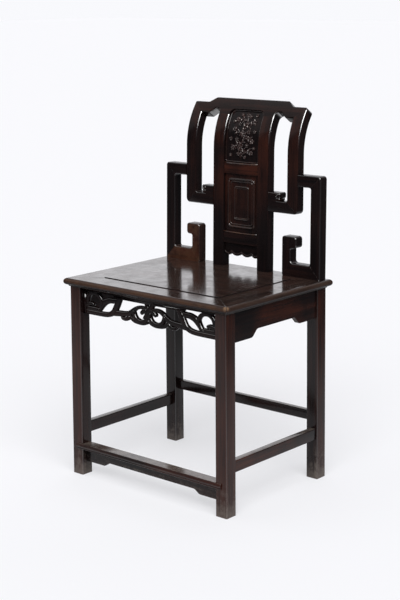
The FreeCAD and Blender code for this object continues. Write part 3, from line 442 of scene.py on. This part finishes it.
# Finish of each kind of piece; a coat is given as its faces, weight, roughness and index.
VARNISH = ("all", 1.0, 0.06, 1.6)
THIN_VARNISH = ("all", 0.6, 0.06, 1.6)
FINISHES = {
    "seat": {"polish": 0.12, "gloss": ("smeared tops", 1.0, 0.11, 1.6), "seat": True, "dull_under": True},
    # Bent, base and back pieces keep their warmth in full on their front only; other faces are painted as
    # shade.
    "bent": {"gloss": ("bend arris", 1.0, 0.17, 4.0), "dim_below": 0.68, "lit_face": "front"},
    "base": {"gloss": ("arris", 1.0, 0.17, 1.9), "wear": 0.60, "lit_face": "front"},
    "back": {"gloss": ("arris", 1.0, 0.17, 1.9), "lit_face": "front"},
    "splat": {"dim_below": 0.62},
    "foot": {"gloss": ("tops", 0.4, 0.12, 1.8), "dust": 0.90},
    "leg": {"gloss": ("arris", 0.4, 0.15, 1.9), "patches": EVEN},
    "frame": {"gloss": ("tops", 0.4, 0.12, 1.8), "dust": 0.75},
    "edge": {"gloss": THIN_VARNISH, "wear": 0.30},
    # A dark matte wood, painted shade in the seat's groove.
    "groove_shade": {"polish": 0.5},
    "carved": {"polish": 0.10, "gloss": ("upper sides", 1.0, 0.08, 2.2), "dull_under": True},
    "moulding": {"polish": 0.12, "gloss": VARNISH, "wear": 0.10},
    # The carved panel carries painted highlights: pale glint specks.
    "panel": {"polish": 0.10, "gloss": THIN_VARNISH, "glints": 1.0, "patches": EVEN},
    # The rails' bead is rubbed pale: partly wear, partly a painted highlight.
    "bead": {"polish": 0.12, "gloss": VARNISH, "wear": 0.8},
}
# The kind of a solid is that of the first start that fits its name.
KINDS = {
    "seat_rail": "seat", "seat_panel": "seat", "back_upright": "bent", "splat_stile": "bent",
    "crest_rail": "bent", "base_rail_left": "base", "base_hook_left": "base", "back_": "back",
    "base_": "back", "upright_": "back", "splat": "splat", "foot_rail": "foot", "leg": "leg", "": "frame",
}
# Warmth of single solids: the photograph shows these redder or blacker than the rest.
WARM_PIECES = {
    "base_rail_left": 1.3, "base_hook_left": 1.2, "base_rail_right": 0.10, "base_hook_right": 0.05,
    "upright_foot_left": 0.05, "upright_foot_right": 0.05, "back_arm_left": 0.1, "back_arm_right": 0.1,
    "back_post_left": 0.1, "back_post_right": 0.15, "back_upright_left": 0.3, "back_upright_right": 0.4,
    "splat_stile_left": 0.5, "splat_stile_right": 0.5, "splat_mid_rail": 1.0, "splat_low_rail": 0.5,
    "splat_lower_panel": 0.5, "splat_carved_panel": 0.0, "leg_front_left": 0.6, "leg_front_right": 0.6,
    "leg_rear_right": 0.5, "leg_rear_left": 0.1, "side_apron_right": 0.6, "side_stretcher_right": 0.9,
    "foot_rail": 0.7,
}
PLAIN_WARMTH = 0.25
# These pieces keep their warmth in full on the named side only; their other faces are painted as shade.
LIT_SIDES = {"leg_front_left": "front", "leg_rear_right": "right"}
GRAINS = {
    "leg": "Z", "back_upright": "Z", "back_post": "Z", "splat_stile": "Z", "base_hook": "Z",
    "splat_carved_panel": "Z", "splat_lower_panel": "Z", "seat_rail_left": "Y", "seat_rail_right": "Y",
    "side_apron": "Y", "side_stretcher": "Y", "seat_batten": "Y", "": "X",
}
# Woods of the pieces that are made below: kind of finish, grain and warmth.
OWN_WOODS = {
    # The dark matte wood is painted shade in the seat's groove.
    "gap_wood": ("groove_shade", "X", 0.0),
    "carved_wood": ("carved", "X", 0.15),
    "moulding_wood": ("moulding", "Z", 0.4),
    "field_wood": ("seat", "X", PLAIN_WARMTH),
    "panel_wood": ("panel", "Z", 0.4),
    "bead_wood": ("bead", "X", 0.8),
}


def own_wood(name):
    kind, axis, warmth = OWN_WOODS[name]
    return wood(name, axis, warmth, **FINISHES[kind])


def first_fit(name, table):
    for start, value in table.items():
        if name.startswith(start):
            return value


def ease_edges(piece, width):
    piece.modifiers.new("weld", "WELD").merge_threshold = WELD_REACH
    ease = piece.modifiers.new("ease", "BEVEL")
    ease.width = width
    ease.segments = EDGE_STEPS
    ease.limit_method = "ANGLE"
    ease.angle_limit = EDGE_ANGLE
    ease.material = 1
    ease.use_clamp_overlap = False
    piece.modifiers.new("even", "WEIGHTED_NORMAL").weight = NORMAL_WEIGHT


def dress_solids(names, groove_shade):
    """Wood on every solid, and another on its eased edges; like pieces share theirs; the seat panel's edges
    take painted groove shade.
    """
    made = {}
    for name in names:
        kind = first_fit(name, KINDS)
        axis = first_fit(name, GRAINS)
        warmth = WARM_PIECES.get(name, PLAIN_WARMTH)
        finish = dict(FINISHES[kind])
        # A piece with a lit side: its other faces are painted as shade.
        if name in LIT_SIDES:
            finish["lit_face"] = LIT_SIDES[name]
        key = (kind, axis, warmth, finish.get("lit_face"))
        if key not in made:
            label = "%s_wood_%d" % (kind, len(made))
            edge = wood(label + "_edge", axis, warmth, **FINISHES["edge"])
            made[key] = (wood(label, axis, warmth, **finish), edge)
        plain, edge = made[key]
        piece = bpy.data.objects[name]
        piece.data.materials.clear()
        piece.data.materials.append(plain)
        # The seat panel's eased edges take the painted groove shade.
        piece.data.materials.append(groove_shade if name == "seat_panel" else edge)
        ease_edges(piece, EASES.get(name, BACK_EASE if kind in BACK_KINDS else EDGE_EASE))


# Carving: curves, swept stems, bumps and blocks

# A stem's groove as a share of half its width, and how often the mesh of a bump is divided.
GROOVE_SPREAD = 0.3
BUMP_FINENESS = 2


def curve_value(a, b, c, d, t):
    """A value on the way from b to c, smooth with the values before and after them."""
    first = c - a
    second = 2 * a - 5 * b + 4 * c - d
    third = 3 * b - a - 3 * c + d
    return 0.5 * (2 * b + first * t + second * t ** 2 + third * t ** 3)


def smooth_path(points, steps):
    """A curve through given points; each point is a tuple of numbers of any length."""
    last = len(points) - 1
    out = []
    for i in range(last):
        near = [points[min(max(i + k, 0), last)] for k in (-1, 0, 1, 2)]
        for step in range(steps):
            out.append(tuple(curve_value(*values, step / steps) for values in zip(*near)))
    out.append(tuple(points[-1]))
    return out


def rounder(value, power):
    return abs(value) ** power * (1 if value > 0 else -1)


def sweep(mesh, spine, sides, groove=0.0, closed=False, fullness=1.0):
    """A stem along a spine of (place, outward, half width, half depth), grooved along its front."""
    rings = []
    count = len(spine)
    for i, (place, outward, half, deep) in enumerate(spine):
        if closed:
            before, after = spine[i - 1][0], spine[(i + 1) % count][0]
        else:
            before, after = spine[max(i - 1, 0)][0], spine[min(i + 1, count - 1)][0]
        across = (after - before).cross(outward).normalized()
        ring = []
        for k in range(sides):
            turn = 2 * pi * k / sides
            reach = rounder(cos(turn), fullness)
            lift = rounder(sin(turn), fullness)
            if lift > 0:
                lift *= 1 - groove * exp(-(reach / GROOVE_SPREAD) ** 2)
            ring.append(mesh.verts.new(place + across * (half * reach) + outward * (deep * lift)))
        rings.append(ring)
    join_rings(mesh, rings, closed)


def join_rings(mesh, rings, closed):
    pairs = zip(rings, rings[1:] + rings[:1]) if closed else zip(rings, rings[1:])
    for first, second in pairs:
        for k in range(len(first)):
            mesh.faces.new((first[k - 1], first[k], second[k], second[k - 1]))
    if not closed:
        mesh.faces.new(rings[0][::-1])
        mesh.faces.new(rings[-1])


def blob(mesh, place, along, outward, length, width, height):
    """A rounded bump that lies along a direction."""
    across = outward.cross(along).normalized()
    turn = Matrix((along.normalized() * length, across * width, outward * height)).transposed().to_4x4()
    whole = Matrix.Translation(place) @ turn
    bmesh.ops.create_icosphere(mesh, subdivisions=BUMP_FINENESS, radius=1, matrix=whole)


def block(mesh, middle, size):
    whole = Matrix.Translation(middle) @ Matrix.Diagonal((*size, 1))
    bmesh.ops.create_cube(mesh, size=1, matrix=whole)


def add_piece(name, mesh, material, smooth=True):
    bmesh.ops.recalc_face_normals(mesh, faces=mesh.faces)
    data = bpy.data.meshes.new(name)
    mesh.to_mesh(data)
    mesh.free()
    data.polygons.foreach_set("use_smooth", [smooth] * len(data.polygons))
    data.materials.append(material)
    piece = bpy.data.objects.new(name, data)
    bpy.context.collection.objects.link(piece)
    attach(piece, "root")
    return piece


# Front apron

# Stems of the right half as a lift and points (x, z, width), millimetres; the left half mirrors it.
APRON_STEMS = [
    (0.0, [(94, 473, 15), (98, 463, 16), (104, 451, 17), (111, 438, 17), (119, 428, 15), (132, 421.5, 13.5),
           (150, 419, 13), (185, 418.5, 13), (222, 418.5, 13)]),
    (-0.8, [(103, 460, 12), (116, 457, 14), (130, 456, 15), (144, 451, 16), (155, 442, 15), (163, 432, 13),
            (170, 424, 11)]),
    (0.4, [(161, 438, 11), (157, 450, 11), (163, 461, 11), (174, 467, 11), (188, 467.5, 11), (200, 461, 12),
           (206, 450, 13), (207, 436, 14)]),
    (1.0, [(210, 436, 12), (201, 439, 11), (192, 441, 10), (186, 439.5, 9), (183, 437, 5)]),
    (-0.6, [(165, 428, 10), (178, 428, 12), (192, 428, 12), (208, 428, 13)]),
    (-0.4, [(118, 426, 13), (102, 428.5, 15), (84, 430, 14), (68, 433, 13), (56, 439.5, 13), (46, 447, 11),
            (36, 452, 9.5), (24, 454, 8.5), (12, 452, 9), (4, 446, 9)]),
    (0.2, [(50, 443, 9), (47, 432, 11), (40, 423, 12), (26, 418.5, 12), (12, 422, 12), (4, 432, 11),
           (3, 444, 10)]),
    (-0.8, [(68, 430, 8), (58, 424, 10), (47, 418, 10), (34, 416, 10), (20, 416, 10), (8, 419, 9),
            (0, 424, 8)]),
    (1.0, [(7, 450, 9), (14, 448, 11), (21, 443, 11), (24, 438, 6)]),
    (0.6, [(64, 428, 8), (68, 422, 11), (77, 418.5, 10), (86, 419.5, 8), (91, 423, 5)]),
]
# Stems that cross the middle and have no mirrored twin.
MIDDLE_STEMS = [
    (0.9, [(-14, 428, 10), (-6, 440, 12), (3, 452, 13), (12, 463, 12), (17, 471, 10)]),
    (0.3, [(0, 446, 10), (-5, 456, 9), (-8, 464, 9), (-9, 471, 9)]),
]
# Section of a stem: its depth as a share of its width, and its greatest half depth in millimetres.
STEM_DEPTH = 1.4
STEM_HALF_DEPTH = 6.2
STEM_GROOVE = 0.28
STEM_FULLNESS = 0.72
STEM_SIDES = 16
STEM_STEPS = 6
# The apron's middle plane and ends, and its plain bars, metres.
APRON_MIDDLE = -0.19236
APRON_END = 0.218
STRIP_HALF = 0.112
STRIP_LOW = 0.465
STRIP_TOP = 0.471
END_BAR = 0.008
BAR_DEPTH_SHARE = 0.86


def stem(mesh, side, lift, points):
    outward = Vector((0, -1, 0))
    spine = []
    for x, z, width in smooth_path(points, STEM_STEPS):
        half = width / 2 * MM
        place = Vector((side * x * MM, APRON_MIDDLE - lift * MM, z * MM))
        spine.append((place, outward, half, min(half * STEM_DEPTH, STEM_HALF_DEPTH * MM)))
    sweep(mesh, spine, STEM_SIDES, STEM_GROOVE, fullness=STEM_FULLNESS)


def bar_apron(mesh):
    """The plain top, middle strip and ends that hold the stems."""
    low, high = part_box("front_apron")
    bars = (
        ((-APRON_END, STRIP_TOP), (APRON_END, SEAT_UNDER)),
        ((-STRIP_HALF, STRIP_LOW), (STRIP_HALF, STRIP_TOP)),
        ((-APRON_END, low.z), (-APRON_END + END_BAR, STRIP_TOP)),
        ((APRON_END - END_BAR, low.z), (APRON_END, STRIP_TOP)),
    )
    depth = (high.y - low.y) * BAR_DEPTH_SHARE
    for (left, under), (right, top) in bars:
        middle = ((left + right) / 2, APRON_MIDDLE, (under + top) / 2)
        block(mesh, middle, (right - left, depth, top - under))


def carve_apron(material):
    mesh = bmesh.new()
    for lift, points in APRON_STEMS:
        stem(mesh, 1, lift, points)
        stem(mesh, -1, lift, points)
    for lift, points in MIDDLE_STEMS:
        stem(mesh, 1, lift, points)
    bar_apron(mesh)
    piece = add_piece("apron_carving", mesh, material)
    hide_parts("front_apron")


# Splat: places and directions on its panels

def on_back(x, z, behind, proud):
    """A place over the back's front face, its outward direction and its upward one."""
    if z < BEND_PLACE[1]:
        turn = BACK_LEAN
        y = BACK_FRONT + behind / cos(BACK_LEAN) + (z - SEAT_TOP) * tan(BACK_LEAN)
    else:
        radius = BEND_RADIUS - behind
        bend = asin((z - BEND_PLACE[1]) / radius)
        turn = max(bend, BACK_LEAN)
        y = BEND_PLACE[0] - radius * cos(bend)
    outward = Vector((0, -cos(turn), sin(turn)))
    upward = Vector((0, sin(turn), cos(turn)))
    return Vector((x, y, z)) + outward * proud, outward, upward


def on_panel(x, z, rise):
    """The same over the splat's panels, from millimetres."""
    return on_back(x * MM, z * MM, PANEL_SETBACK, rise * MM)


def in_face(upward, turn):
    """A direction in the back's face, by its turn from the chair's right."""
    return Vector((1, 0, 0)) * cos(turn) + upward * sin(turn)


# Splat: beads, as a half width and a rise, millimetres

BEAD_SIDES = 10
FINE_SIDES = 8
BEAD_STEP = 8.0
CORNER_STEPS = 5
# Loops of bead in a panel: margin, half width, rise, and round of the lower and upper corners, millimetres.
CARVED_BEADS = ((3.0, 1.6, 2.4, 4, 15),)
LOWER_BEADS = ((13.5, 3.2, 4.2, 10, 10), (20.0, 1.6, 2.6, 6, 6), (33.0, 2.2, 3.2, 5, 5))
# The rails' bead: how far it lies below the rail's edge, and how far and how sharply its ends turn up.
RAIL_BEAD = (1.7, 1.5)
RAIL_BEAD_DROP = 1.2
RAIL_BEAD_CURL = 1.5
RAIL_BEAD_POWER = 4
RAIL_BEAD_STEPS = 8
# The splat apron's bead: where its scallops meet, and their edge, sag and margin.
SCALLOP_BEAD = (1.3, 1.4)
SCALLOP_STOPS = (-55, -33, 0, 33, 55)
SCALLOP_EDGE = 536.0
SCALLOP_SAG = 7.0
SCALLOP_MARGIN = 4.5
SCALLOP_STEPS = 8


def rounded_loop(half, low, high, lower, upper):
    """A closed outline in (x, z) with round lower and upper corners, from the lower right one round."""
    centres = (
        (half - lower, low + lower, -pi / 2, lower), (half - upper, high - upper, 0, upper),
        (-half + upper, high - upper, pi / 2, upper), (-half + lower, low + lower, pi, lower),
    )
    loop = []
    for x, z, start, corner in centres:
        for step in range(CORNER_STEPS + 1):
            turn = start + step / CORNER_STEPS * pi / 2
            loop.append((x + corner * cos(turn), z + corner * sin(turn)))
    return loop


def bead_loop(mesh, loop, half, rise):
    spine = []
    for (x, z), (next_x, next_z) in zip(loop, loop[1:] + loop[:1]):
        steps = max(1, round(hypot(next_x - x, next_z - z) / (BEAD_STEP * MM)))
        for step in range(steps):
            t = step / steps
            place, outward, _ = on_back(x + (next_x - x) * t, z + (next_z - z) * t, PANEL_SETBACK, 0)
            spine.append((place, outward, half, rise))
    sweep(mesh, spine, BEAD_SIDES, closed=True)


def bead_panel(name, material, low, high, beads):
    """Loops of bead in one panel of the splat."""
    mesh = bmesh.new()
    for margin, half, rise, lower, upper in beads:
        inset = margin * MM
        loop = rounded_loop(PANEL_HALF - inset, low + inset, high - inset, lower * MM, upper * MM)
        bead_loop(mesh, loop, half * MM, rise * MM)
    add_piece(name, mesh, material)


def bead_rails(material):
    """A fine bead along the top edge of the splat's two rails, rubbed pale: partly wear, partly a painted
    highlight.
    """
    mesh = bmesh.new()
    half, rise = RAIL_BEAD
    for height in (LOWER_LOW, CARVED_LOW):
        spine = []
        for step in range(RAIL_BEAD_STEPS + 1):
            share = 2 * step / RAIL_BEAD_STEPS - 1
            z = height - RAIL_BEAD_DROP * MM + RAIL_BEAD_CURL * MM * share ** RAIL_BEAD_POWER
            place, outward, _ = on_back(PANEL_HALF * share, z, RAIL_SETBACK, 0)
            spine.append((place, outward, half * MM, rise * MM))
        sweep(mesh, spine, BEAD_SIDES)
    add_piece("rail_beads", mesh, material)


def bead_scallops(material):
    """A carved line that follows the scalloped edge."""
    mesh = bmesh.new()
    half, rise = SCALLOP_BEAD
    spine = []
    for start, stop in zip(SCALLOP_STOPS, SCALLOP_STOPS[1:]):
        for step in range(SCALLOP_STEPS):
            t = step / SCALLOP_STEPS
            z = SCALLOP_EDGE + SCALLOP_MARGIN - SCALLOP_SAG * 4 * t * (1 - t)
            place, outward, _ = on_panel(start + (stop - start) * t, z, 0)
            spine.append((place, outward, half * MM, rise * MM))
    sweep(mesh, spine, FINE_SIDES)
    add_piece("scallop_bead", mesh, material)


# Seat: the field of the panel stands a little proud of its frame; half width, front, rear and rise, metres.
FIELD_HALF = 0.1850
FIELD_FRONT = -0.1554
FIELD_REAR = 0.1176
FIELD_RISE = 0.0016
# A face that looks up or down by more than this counts as level.
LEVEL_FACE = 0.5


def raise_seat_field(material, edge):
    mesh = bmesh.new()
    middle = (0, (FIELD_FRONT + FIELD_REAR) / 2, SEAT_TOP)
    block(mesh, middle, (2 * FIELD_HALF, FIELD_REAR - FIELD_FRONT, 2 * FIELD_RISE))
    mesh.normal_update()
    for face in mesh.faces:
        # Sides of the field take the second wood, painted shade at its step.
        face.material_index = 0 if abs(face.normal.z) > LEVEL_FACE else 1
    piece = add_piece("seat_field", mesh, material, smooth=False)
    piece.data.materials.append(edge)


# Carved panel

# The spray: its main stem and twigs in (x, z), then its blossoms in (x, z, radius), millimetres.
MAIN_STEM = [(-6, 783), (4, 797), (-5, 815), (6, 834), (-4, 853), (7, 872), (2, 888)]
TWIGS = [
    [(2, 795), (16, 801), (28, 798)], [(-3, 812), (-17, 815), (-29, 808)],
    [(3, 829), (18, 832), (30, 826)], [(-2, 848), (-16, 846), (-30, 852)],
    [(2, 860), (17, 862), (29, 872)], [(4, 876), (-10, 880), (-25, 876)],
]
BLOSSOMS = [
    (30, 796, 6.0), (-30, 806, 6.5), (31, 825, 6.5), (-31, 853, 6.5), (29, 873, 6.5), (-25, 877, 6.0),
    (3, 889, 5.5), (0, 842, 8.0), (-12, 792, 5.5), (17, 848, 5.5), (-18, 829, 5.5), (36, 849, 5.0),
    (-37, 829, 5.0), (15, 814, 5.5), (-15, 866, 5.5), (14, 885, 5.0), (38, 808, 4.5), (-37, 788, 4.5),
    (9, 784, 4.5), (-36, 872, 4.5), (18, 833, 4.5), (-9, 804, 4.5), (33, 889, 4.5), (-14, 889, 4.5),
]
MAIN_STEM_WIDTH = 3.6
TWIG_WIDTH = 2.6
TWIG_RISE = 0.6
TWIG_STEPS = 5
# Leaves, one to every second step of a twig: sizes in millimetres; width and reach are shares of the length.
LEAF_GAP = 2
LEAF_LENGTH = 6.0
LEAF_WIDTH = 0.42
LEAF_REACH = 0.9
LEAF_HEIGHT = 2.2
LEAF_RISE = 0.8
LEAF_TURN = radians(55)
# Petals and the heart of a blossom: place, length, width and size are shares of its radius.
PETALS = 5
PETAL_TURN = radians(18)
PETAL_PLACE = 0.62
PETAL_LENGTH = 0.46
PETAL_WIDTH = 0.40
PETAL_HEIGHT = 2.6
PETAL_RISE = 1.2
HEART_SIZE = 0.26
HEART_HEIGHT = 1.6
HEART_RISE = 2.6


def leaf(mesh, x, z, heading):
    reach = LEAF_LENGTH * LEAF_REACH
    tip_x = x + reach * cos(heading)
    tip_z = z + reach * sin(heading)
    place, outward, upward = on_panel(tip_x, tip_z, LEAF_RISE)
    length = LEAF_LENGTH * MM
    blob(mesh, place, in_face(upward, heading), outward, length, length * LEAF_WIDTH, LEAF_HEIGHT * MM)


def spray(mesh, points, width):
    """A twig over the carved panel with leaves on alternating sides."""
    path = smooth_path(points, TWIG_STEPS)
    half = width / 2 * MM
    spine = []
    for x, z in path:
        place, outward, _ = on_panel(x, z, TWIG_RISE)
        spine.append((place, outward, half, half))
    sweep(mesh, spine, FINE_SIDES)
    for k in range(LEAF_GAP, len(path) - 1, LEAF_GAP):
        (x, z), (next_x, next_z) = path[k], path[k + 1]
        side = 1 if k // LEAF_GAP % 2 else -1
        leaf(mesh, x, z, atan2(next_z - z, next_x - x) + side * LEAF_TURN)


def blossom(mesh, x, z, radius):
    size = radius * MM
    reach = PETAL_PLACE * radius
    for k in range(PETALS):
        turn = 2 * pi * k / PETALS + PETAL_TURN
        place, outward, upward = on_panel(x + reach * cos(turn), z + reach * sin(turn), PETAL_RISE)
        along = in_face(upward, turn)
        blob(mesh, place, along, outward, PETAL_LENGTH * size, PETAL_WIDTH * size, PETAL_HEIGHT * MM)
    place, outward, upward = on_panel(x, z, HEART_RISE)
    blob(mesh, place, upward, outward, HEART_SIZE * size, HEART_SIZE * size, HEART_HEIGHT * MM)


def carve_panel(material):
    mesh = bmesh.new()
    spray(mesh, MAIN_STEM, MAIN_STEM_WIDTH)
    for twig in TWIGS:
        spray(mesh, twig, TWIG_WIDTH)
    for x, z, radius in BLOSSOMS:
        blossom(mesh, x, z, radius)
    add_piece("panel_carving", mesh, material)


# Knobs of the back's inner feet: a roll that fills the notch and a scroll on the face, millimetres.
KNOB_ROLL = (120.0, 687.5)
ROLL_HALVES = (6.5, 4.6)
ROLL_SIDES = 16
ROLL_FULLNESS = 0.85
# The roll's ends: a depth from either face and the share of its section there.
ROLL_ENDS = ((0.6, 0.8), (1.8, 1.0))
BACK_DEPTH = 25.0
KNOB_SCROLL = (118.5, 697.5)
SCROLL_START = radians(60)
SCROLL_TURNS = 1.6
SCROLL_RADII = (5.6, 1.2)
SCROLL_BEAD = (1.1, 1.3)
SCROLL_STEPS = 26


def roll_knob(mesh, side):
    x, z = KNOB_ROLL
    half, deep = ROLL_HALVES
    rear_ends = [(BACK_DEPTH - depth, share) for depth, share in reversed(ROLL_ENDS)]
    spine = []
    for behind, share in (*ROLL_ENDS, *rear_ends):
        place, _, upward = on_back(side * x * MM, z * MM, behind * MM, 0)
        spine.append((place, upward, half * share * MM, deep * share * MM))
    sweep(mesh, spine, ROLL_SIDES, fullness=ROLL_FULLNESS)


def scroll_knob(mesh, side):
    x, z = KNOB_SCROLL
    outer, inner = SCROLL_RADII
    half, rise = SCROLL_BEAD
    spine = []
    for step in range(SCROLL_STEPS + 1):
        t = step / SCROLL_STEPS
        radius = outer + (inner - outer) * t
        turn = SCROLL_START - 2 * pi * SCROLL_TURNS * t
        over = side * (x + radius * cos(turn)) * MM
        place, outward, _ = on_back(over, (z + radius * sin(turn)) * MM, 0, 0)
        spine.append((place, outward, half * MM, rise * MM))
    sweep(mesh, spine, FINE_SIDES)


def curl_knobs(material):
    for side, name in zip((-1, 1), SIDES):
        mesh = bmesh.new()
        roll_knob(mesh, side)
        scroll_knob(mesh, side)
        add_piece("knob_curl_" + name, mesh, material)


# Studio

# Floor: its reach and the middle and distances of its bright part, metres; colours are linear.
FLOOR_REACH = 40.0
BRIGHT_MIDDLE = (-0.3, -0.4, 0)
BRIGHT_REACH = (2.6, 0.9)
FLOOR_TONE = (0.40, 0.40, 0.412)
FLOOR_FAR_TONE = (0.08, 0.08, 0.085)
FLOOR_GLOW = (0.505, 0.507, 0.520)
# World: the side on which the backdrop stands, where it and the ceiling begin and are full, and tones.
BACKDROP_SIDE = (-0.45, 0.89, 0)
BACKDROP_EDGE = (0.45, 0.80)
CEILING_EDGE = (0.70, 1.0)
CEILING_SHARE = 0.25
ROOM_TONE = (0.05, 0.05, 0.055)
BACKDROP_TONE = (0.95, 0.95, 0.98)
SEEN_TONE = (0.945, 0.95, 0.98)
# Lamps: degrees to the right of the chair's front and above the floor, width in degrees, and strength.
LAMPS = {
    "key_left": (26, 42, 40, 1.55),
    "key_right": (66, 42, 40, 1.55),
    "left_fill": (-65, 40, 60, 0.38),
    "overhead": (10, 78, 75, 0.5),
}


def floor_paint():
    """Pale to the camera and, near the chair, in its polish; dark in the polish further off."""
    material = bpy.data.materials.new("floor")
    material.use_nodes = True
    nodes = Nodes(material.node_tree)
    rays = nodes.add("LightPath").outputs
    away = nodes.measure("DISTANCE", nodes.add("TexCoord").outputs["Object"], BRIGHT_MIDDLE)
    near = nodes.ramp(away, *BRIGHT_REACH)
    mirrored = nodes.product(rays["Is Glossy Ray"], near)
    dark = nodes.product(rays["Is Glossy Ray"], nodes.maths("SUBTRACT", 1.0, near))
    matt = nodes.add("BsdfDiffuse", {"Color": nodes.blend(dark, FLOOR_TONE, FLOOR_FAR_TONE)})
    seen = nodes.maths("MAXIMUM", rays["Is Camera Ray"], mirrored)
    glow = nodes.add("Emission", {"Color": FLOOR_GLOW, "Strength": seen})
    both = nodes.add("AddShader", {0: matt.outputs[0], 1: glow.outputs[0]})
    nodes.add("OutputMaterial", {"Surface": both.outputs[0]})
    return material


def lay_floor():
    reach = FLOOR_REACH
    corners = [(-reach, -reach, 0), (reach, -reach, 0), (reach, reach, 0), (-reach, reach, 0)]
    mesh = bpy.data.meshes.new("floor")
    mesh.from_pydata(corners, [], [(0, 1, 2, 3)])
    mesh.materials.append(floor_paint())
    floor = bpy.data.objects.new("floor", mesh)
    bpy.context.collection.objects.link(floor)


def light_world():
    """White to the camera; to the chair, a bright backdrop behind it and a dim room in front."""
    world = bpy.data.worlds.new("studio")
    bpy.context.scene.world = world
    world.use_nodes = True
    nodes = Nodes(world.node_tree)
    toward = nodes.add("TexCoord").outputs["Generated"]
    backdrop = nodes.ramp(nodes.measure("DOT_PRODUCT", toward, BACKDROP_SIDE), *BACKDROP_EDGE)
    height = nodes.add("SeparateXYZ", {"Vector": toward}).outputs["Z"]
    ceiling = nodes.product(nodes.ramp(height, *CEILING_EDGE), CEILING_SHARE)
    room = nodes.blend(nodes.maths("MAXIMUM", backdrop, ceiling), ROOM_TONE, BACKDROP_TONE)
    seen = nodes.add("LightPath").outputs["Is Camera Ray"]
    tone = nodes.blend(seen, room, SEEN_TONE)
    ground = nodes.add("Background", {"Color": tone, "Strength": 1.0})
    nodes.add("OutputWorld", {"Surface": ground.outputs[0]})


def hang_lamp(name, turn, height, spread, strength):
    """A far softbox."""
    data = bpy.data.lights.new(name, "SUN")
    data.angle = radians(spread)
    data.energy = strength
    level = cos(radians(height))
    toward = Vector((sin(radians(turn)) * level, -cos(radians(turn)) * level, sin(radians(height))))
    piece = bpy.data.objects.new(name, data)
    piece.rotation_euler = toward.to_track_quat("Z", "Y").to_euler()
    bpy.context.collection.objects.link(piece)


def light_studio():
    for name, settings in LAMPS.items():
        hang_lamp(name, *settings)
    light_world()


place_camera()
lay_floor()
light_studio()
# Dark matte wood for painted shade in the seat's groove.
gap_wood = own_wood("gap_wood")
carved_wood = own_wood("carved_wood")
moulding_wood = own_wood("moulding_wood")
dress_solids(solids, gap_wood)
raise_seat_field(own_wood("field_wood"), gap_wood)
carve_apron(carved_wood)
carve_panel(own_wood("panel_wood"))
bead_panel("panel_frame_bead", moulding_wood, CARVED_LOW, CARVED_HIGH, CARVED_BEADS)
bead_panel("lower_panel_moulding", moulding_wood, LOWER_LOW, LOWER_HIGH, LOWER_BEADS)
bead_scallops(moulding_wood)
curl_knobs(carved_wood)
bead_rails(own_wood("bead_wood"))
bpy.context.scene.view_settings.view_transform = "Standard"
